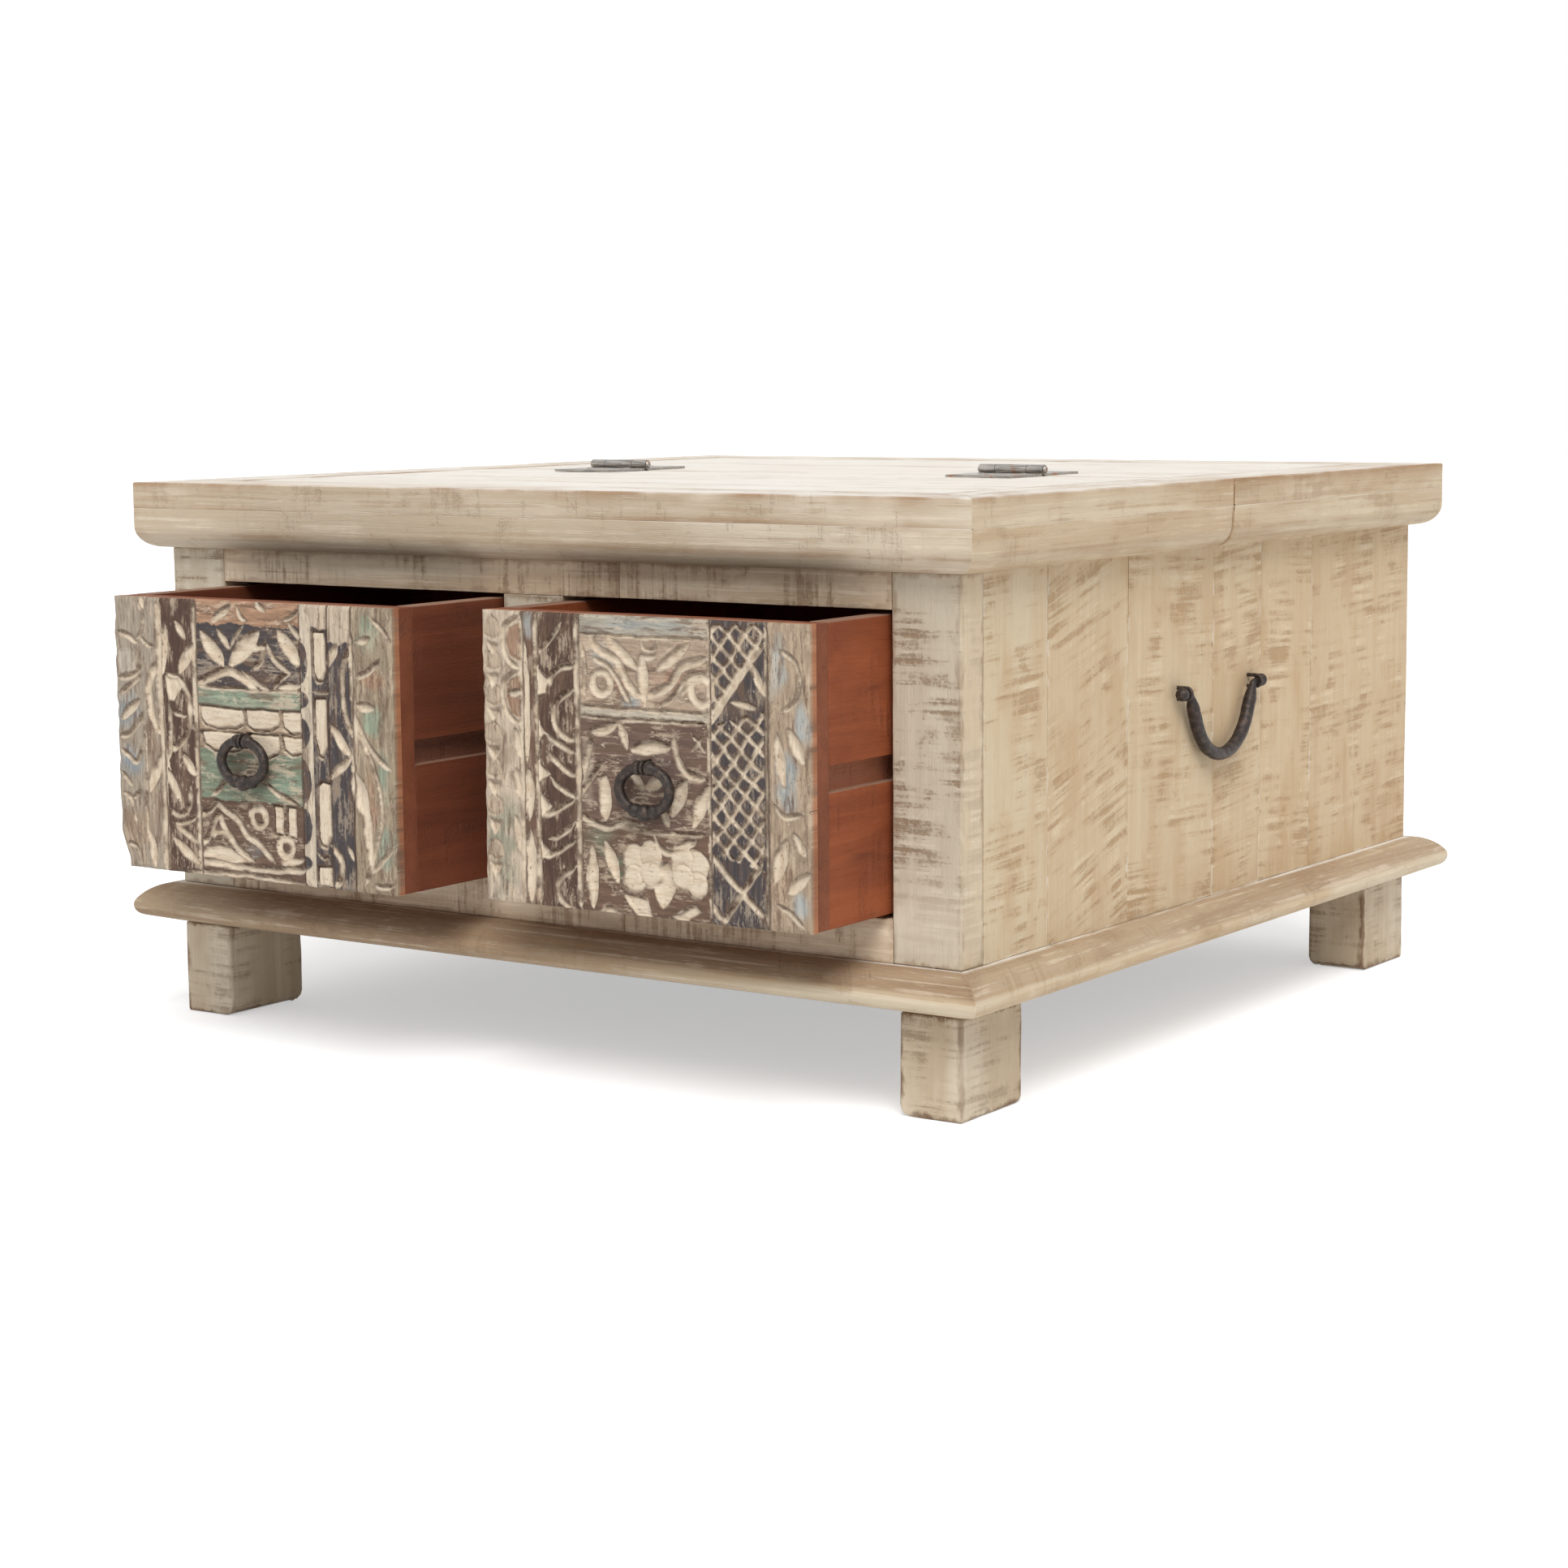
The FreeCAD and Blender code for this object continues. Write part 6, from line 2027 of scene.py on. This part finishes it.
@dataclass(frozen=True)
class Drawer:
    """A drawer: stained box, carved facing and forged ring pull."""

    side: Side
    facing: Facing
    groove: Span = (239.3, 257.9)
    groove_depth: float = 8.0
    groove_rub: float = 0.5
    wall: float = 16.0
    board_round: float = 0.7
    front_round: float = 0.8
    side_round: float = 0.5
    ring_half: Point2 = (22.0, 16.0)
    ring_points: int = 240
    wire: float = 4.0
    neck: float = 2.75
    neck_half: float = 2.0
    top_ball: Point2 = (5.0, 5.4)
    low_balls: Outline = ((0.0, 6.2), (8.5, 5.4))

    @property
    def prefix(self) -> str:
        """Start of the drawer's part names, which is also its body."""
        return f"drawer_{self.side.word}"

    def build(self, finishes: Finishes) -> None:
        """Builds the drawer's pieces.

        Args:
            finishes: The trunk's finishes.
        """
        seed = 200 + 40 * (self.side is Side.RIGHT)
        # The left drawer's sides take the darker stain, partly as painted shade from the right drawer.
        stain = finishes.stain if self.side is Side.RIGHT else finishes.stain_dark_and_shaded
        self.build_front(seed, finishes)
        for number, end in enumerate(Side):
            self.build_side(end, seed + 5 + 3 * number, stain)
        for number, word in enumerate(("back", "bottom")):
            node = f"{self.prefix}_{word}"
            board = Board.of_node(node, Axis.X, seed + 13 + 3 * number, radius=self.board_round)
            board.draft().piece(f"{node}_board", finishes.stain_dark_and_shaded, self.prefix, "stained_wood", node)
        carving, node = f"{self.prefix}_carving", f"{self.prefix}_facing"
        self.facing.draft().piece(carving, finishes.paint, self.prefix, "carved_wood", node)
        dress_nodes(finishes.iron, f"{self.prefix}_staple")
        node = f"{self.prefix}_ring"
        self.ring().piece(f"{node}_forging", finishes.iron, f"ring_{self.side.word}", "black_iron", node)

    def build_front(self, seed: int, finishes: Finishes) -> None:
        """Builds the front board, worn at the same corner as its facing.

        Args:
            seed: Picks its wear.
            finishes: The trunk's finishes.
        """
        node = f"{self.prefix}_front"
        low, high = corners_of(node)
        front = Board.of_node(node, Axis.X, seed, radius=self.front_round).draft()
        across, down = front.points[:, 0] - low[0], high[2] - front.points[:, 2]
        front.points[:, 0] += self.facing.slip(across, down, high[2] - low[2])
        front.piece(f"{node}_board", finishes.stain_edge, self.prefix, "stained_wood", node)

    def build_side(self, end: Side, seed: int, stain: bpy.types.Material) -> None:
        """Builds one side with the groove that runs on its runner.

        Args:
            end: Which side of the drawer.
            seed: Picks its wear.
            stain: Its finish.
        """
        node = f"{self.prefix}_side_{end.word}"
        low, high = corners_of(node)
        floor, roof = self.groove
        corners = [(self.wall, high[2]), (0.0, high[2]), (0.0, roof), (self.groove_depth, roof),
                   (self.groove_depth, floor), (0.0, floor), (0.0, low[2]), (self.wall, low[2])]
        section = softened(corners, [0.9, 0.9, 0.6, 0.3, 0.3, 0.6, 0.9, 0.9])
        outer = low[0] if end is Side.LEFT else high[0]
        ends, mitres = (low[1], high[1]), (False, False)
        run = Run(section, Axis.Y, ends, outer, -end.value, mitres, seed, rounding=self.side_round)
        draft = run.draft()
        inset = np.abs(draft.points[:, 0] - outer)
        sunk = ease(inset / self.groove_depth - 0.4) * (inset < self.groove_depth + 1.5)
        draft.raise_to("second", self.groove_rub * sunk)
        draft.piece(f"{node}_board", stain, self.prefix, "stained_wood", node)

    def ring(self) -> Draft:
        """Draws the ring pull: a neck between bulbs above, three beads below.

        Returns:
            The draft.
        """
        centre = sum(corners_of(f"{self.prefix}_ring")) / 2.0
        centre[2] = sum(corners_of(f"{self.prefix}_staple"))[2] / 2.0 - self.ring_half[1]
        turns = np.linspace(0.0, 2.0 * math.pi, self.ring_points, endpoint=False)
        line = np.stack([self.ring_half[0] * np.sin(turns), self.ring_half[1] * np.cos(turns)], axis=1)
        runs = np.linalg.norm(np.diff(np.vstack([line, line[:1]]), axis=0), axis=1)
        reach = np.concatenate([[0.0], np.cumsum(runs)[:-1]])
        top = np.minimum(reach, runs.sum() - reach)
        bottom = runs.sum() / 2.0 - top
        radii = np.full(len(line), self.wire)
        for place, (middle, ball) in ((top, self.top_ball), *((bottom, ball) for ball in self.low_balls)):
            radii = np.maximum(radii, np.sqrt(np.maximum(ball ** 2 - (place - middle) ** 2, 0.0)))
        share = ease((top - self.neck_half) / 0.8)
        radii = self.neck * (1.0 - share) + radii * share
        return Wire(line, radii, True).draft(centre, np.array([1.0, 0.0, 0.0]), np.array([0.0, 0.0, 1.0]))


@dataclass(frozen=True)
class SideHandle:
    """A forged bail that swings on two staples."""

    side: Side
    pivot: Point3 = (386.0, 3.0, 276.0)
    half_span: float = 55.0
    bend: float = 48.0
    drop: float = 52.5
    thick: float = 5.4
    thin: float = 2.9
    pin: float = 2.5
    ball: float = 5.5
    ball_place: float = 67.6
    bend_points: int = 40
    arm_points: int = 23
    pin_points: int = 39
    eased_points: tuple[int, int] = (11, 12)
    easings: int = 6

    def half_line(self) -> tuple[Array, Array]:
        """The bail's line and thickness from its lowest point to the tip of one ball.

        Returns:
            Points across and up from the pivot, and the radius at each.
        """
        sink = self.drop - self.bend
        reach = math.hypot(self.half_span, sink)
        lean = math.acos(self.bend / reach) - math.atan(sink / self.half_span)
        bottom = arc_points((0.0, -sink), self.bend, -90.0, -math.degrees(lean), self.bend_points)
        foot, elbow = np.array(bottom[-1]), np.array([self.half_span, 0.0])
        tip = np.array([self.ball_place + 0.98 * self.ball, 0.0])
        arm = np.linspace(foot, elbow, self.arm_points + 1)[1:]
        pin = np.linspace(elbow, tip, self.pin_points + 1)[1:]
        line = np.array([*bottom, *arm, *pin])
        turn = self.bend_points + self.arm_points
        radii = np.full(len(line), self.thick)
        thinning = ease(np.linspace(1.7, 0.0, self.arm_points))
        radii[self.bend_points:turn] = self.thin + (self.thick - self.thin) * thinning
        swell = self.ball ** 2 - (line[:, 0] - self.ball_place) ** 2
        radii[turn:] = np.maximum(self.pin, np.sqrt(np.maximum(swell[turn:], 0.0)))
        beyond = line[:, 0] > self.ball_place
        radii[beyond] = np.sqrt(np.maximum(swell[beyond], 0.05))
        first, last = turn - self.eased_points[0], turn + self.eased_points[1]
        for _ in range(self.easings):
            beside = line[first - 1:last - 1] + line[first + 1:last + 1]
            line[first:last] = (line[first:last] + beside) / 3.0
        return line, radii

    def build(self, finishes: Finishes) -> None:
        """Builds the bail and dresses the staples.

        Args:
            finishes: The trunk's finishes.
        """
        line, radii = self.half_line()
        mirrored = line[:0:-1] * np.array([-1.0, 1.0])
        whole = Wire(np.concatenate([mirrored, line]), np.concatenate([radii[:0:-1], radii]), False)
        origin = np.array(self.pivot) * np.array([float(self.side.value), 1.0, 1.0])
        draft = whole.draft(origin, np.array([0.0, 1.0, 0.0]), np.array([0.0, 0.0, 1.0]))
        node = f"handle_{self.side.word}_bail"
        draft.piece(f"{node}_forging", finishes.iron, f"bail_{self.side.word}", "black_iron", node)
        dress_nodes(finishes.iron, f"handle_{self.side.word}_staples")


@dataclass(frozen=True)
class Studio:
    """A pale floor, soft light and the camera at the photograph's place."""

    floor_half: float = 14.0
    floor_paint: Colour = (0.93, 0.93, 0.93)
    floor_glow: Colour = (0.44, 0.451, 0.46)
    floor_seen: Colour = (0.82, 0.82, 0.82)
    sky: float = 0.55
    sun: float = 2.2
    sun_width: float = 32.0
    sun_height: float = 50.0
    sun_bearing: float = 38.0
    eye: Point3 = (1.5184, -2.24813, 0.52927)
    yaw: float = 34.59
    pitch: float = -7.47
    roll: float = -0.49
    lens: float = 73.13
    sensor: float = 36.0
    view_end: float = 100.0

    def build(self) -> None:
        """Builds the floor, lights and camera."""
        self.build_floor()
        self.build_light()
        self.build_camera()

    def build_floor(self) -> None:
        """Lays a wide pale floor under the trunk."""
        mesh = bpy.data.meshes.new("studio_floor")
        h = self.floor_half
        mesh.from_pydata([(-h, -h, 0.0), (h, -h, 0.0), (h, h, 0.0), (-h, h, 0.0)], [], [(0, 1, 2, 3)])
        bench = Bench("floor_paper")
        paper = bench.noise(bench.place(), (40.0, 40.0, 40.0), 3.0)
        colour = paper.step(0.3, 0.7).lays(tuple(0.985 * c for c in self.floor_paint), self.floor_paint)
        mesh.materials.append(bench.finish(colour, 0.9, paper, 0.0001, 0.1))
        glow = bench.fed("ShaderNodeEmission", {"Color": self.floor_glow})
        lit = bench.fed("ShaderNodeBsdfDiffuse", {"Color": self.floor_seen})
        shown = bench.fed("ShaderNodeAddShader", {0: lit, 1: glow})
        direct, hidden = Reading(bench, seen_directly(bench.tree)), Reading(bench, bench.shader.outputs[0])
        chosen = bench.fed("ShaderNodeMixShader", {0: direct, 1: hidden, 2: shown})
        bench.put(bench.output.inputs["Surface"], chosen)
        floor = bpy.data.objects.new("studio_floor", mesh)
        bpy.context.scene.collection.objects.link(floor)
        log.info("floor laid")

    def build_light(self) -> None:
        """Hangs a soft lamp and fills the room with even light that looks white."""
        lamp = bpy.data.lights.new("soft_lamp", "SUN")
        lamp.energy = self.sun
        lamp.angle = math.radians(self.sun_width)
        holder = bpy.data.objects.new("soft_lamp", lamp)
        holder.rotation_euler = (math.radians(90.0 - self.sun_height), 0.0, math.radians(self.sun_bearing))
        bpy.context.scene.collection.objects.link(holder)
        world = bpy.data.worlds.new("studio_room")
        world.use_nodes = True
        tree = world.node_tree
        tree.nodes.clear()
        mixer = tree.nodes.new("ShaderNodeMixShader")
        tree.links.new(seen_directly(tree), mixer.inputs[0])
        for socket, strength in ((mixer.inputs[1], self.sky), (mixer.inputs[2], 1.0)):
            light = tree.nodes.new("ShaderNodeBackground")
            light.inputs["Color"].default_value = (1.0, 1.0, 1.0, 1.0)
            light.inputs["Strength"].default_value = strength
            tree.links.new(light.outputs[0], socket)
        output = tree.nodes.new("ShaderNodeOutputWorld")
        tree.links.new(mixer.outputs[0], output.inputs["Surface"])
        bpy.context.scene.world = world
        bpy.context.scene.view_settings.view_transform = "Standard"
        log.info("light hung")

    def build_camera(self) -> None:
        """Stands the camera where the photograph was taken from."""
        data = bpy.data.cameras.new("photograph_view")
        data.lens = self.lens
        data.sensor_width = self.sensor
        data.sensor_fit = "HORIZONTAL"
        data.clip_end = self.view_end
        camera = bpy.data.objects.new("photograph_view", data)
        turns = ((self.yaw, "Z"), (90.0 + self.pitch, "X"), (self.roll, "Z"))
        yaw, pitch, roll = (Matrix.Rotation(math.radians(angle), 4, axis) for angle, axis in turns)
        camera.matrix_world = Matrix.Translation(self.eye) @ yaw @ pitch @ roll
        bpy.context.scene.collection.objects.link(camera)
        bpy.context.scene.camera = camera
        log.info("camera set")


def main() -> None:
    """Builds every sub-assembly in order."""
    logging.basicConfig(level=logging.INFO, format="%(name)s %(message)s")
    finishes = Finishes()
    left = Facing("drawer_left_facing", LEFT_SEAMS, LEFT_COATS, LEFT_WASHES, LEFT_CARVING, 8.5, 301)
    right = Facing("drawer_right_facing", RIGHT_SEAMS, RIGHT_COATS, RIGHT_WASHES, RIGHT_CARVING, 0.0, 351)
    assemblies = (
        Stand(),
        FaceFrame(),
        Walls(),
        HalfTop("fixed_top", "carcass", "front", (-400.0, -7.25), 401),
        HalfTop("lid", "lid", "back", (-4.75, 400.0), 461),
        Hinges(),
        Drawer(Side.LEFT, left),
        Drawer(Side.RIGHT, right),
        SideHandle(Side.LEFT),
        SideHandle(Side.RIGHT),
    )
    for assembly in assemblies:
        log.info("building %s", type(assembly).__name__)
        assembly.build(finishes)
    Studio().build()


if __name__ == "__main__":
    main()
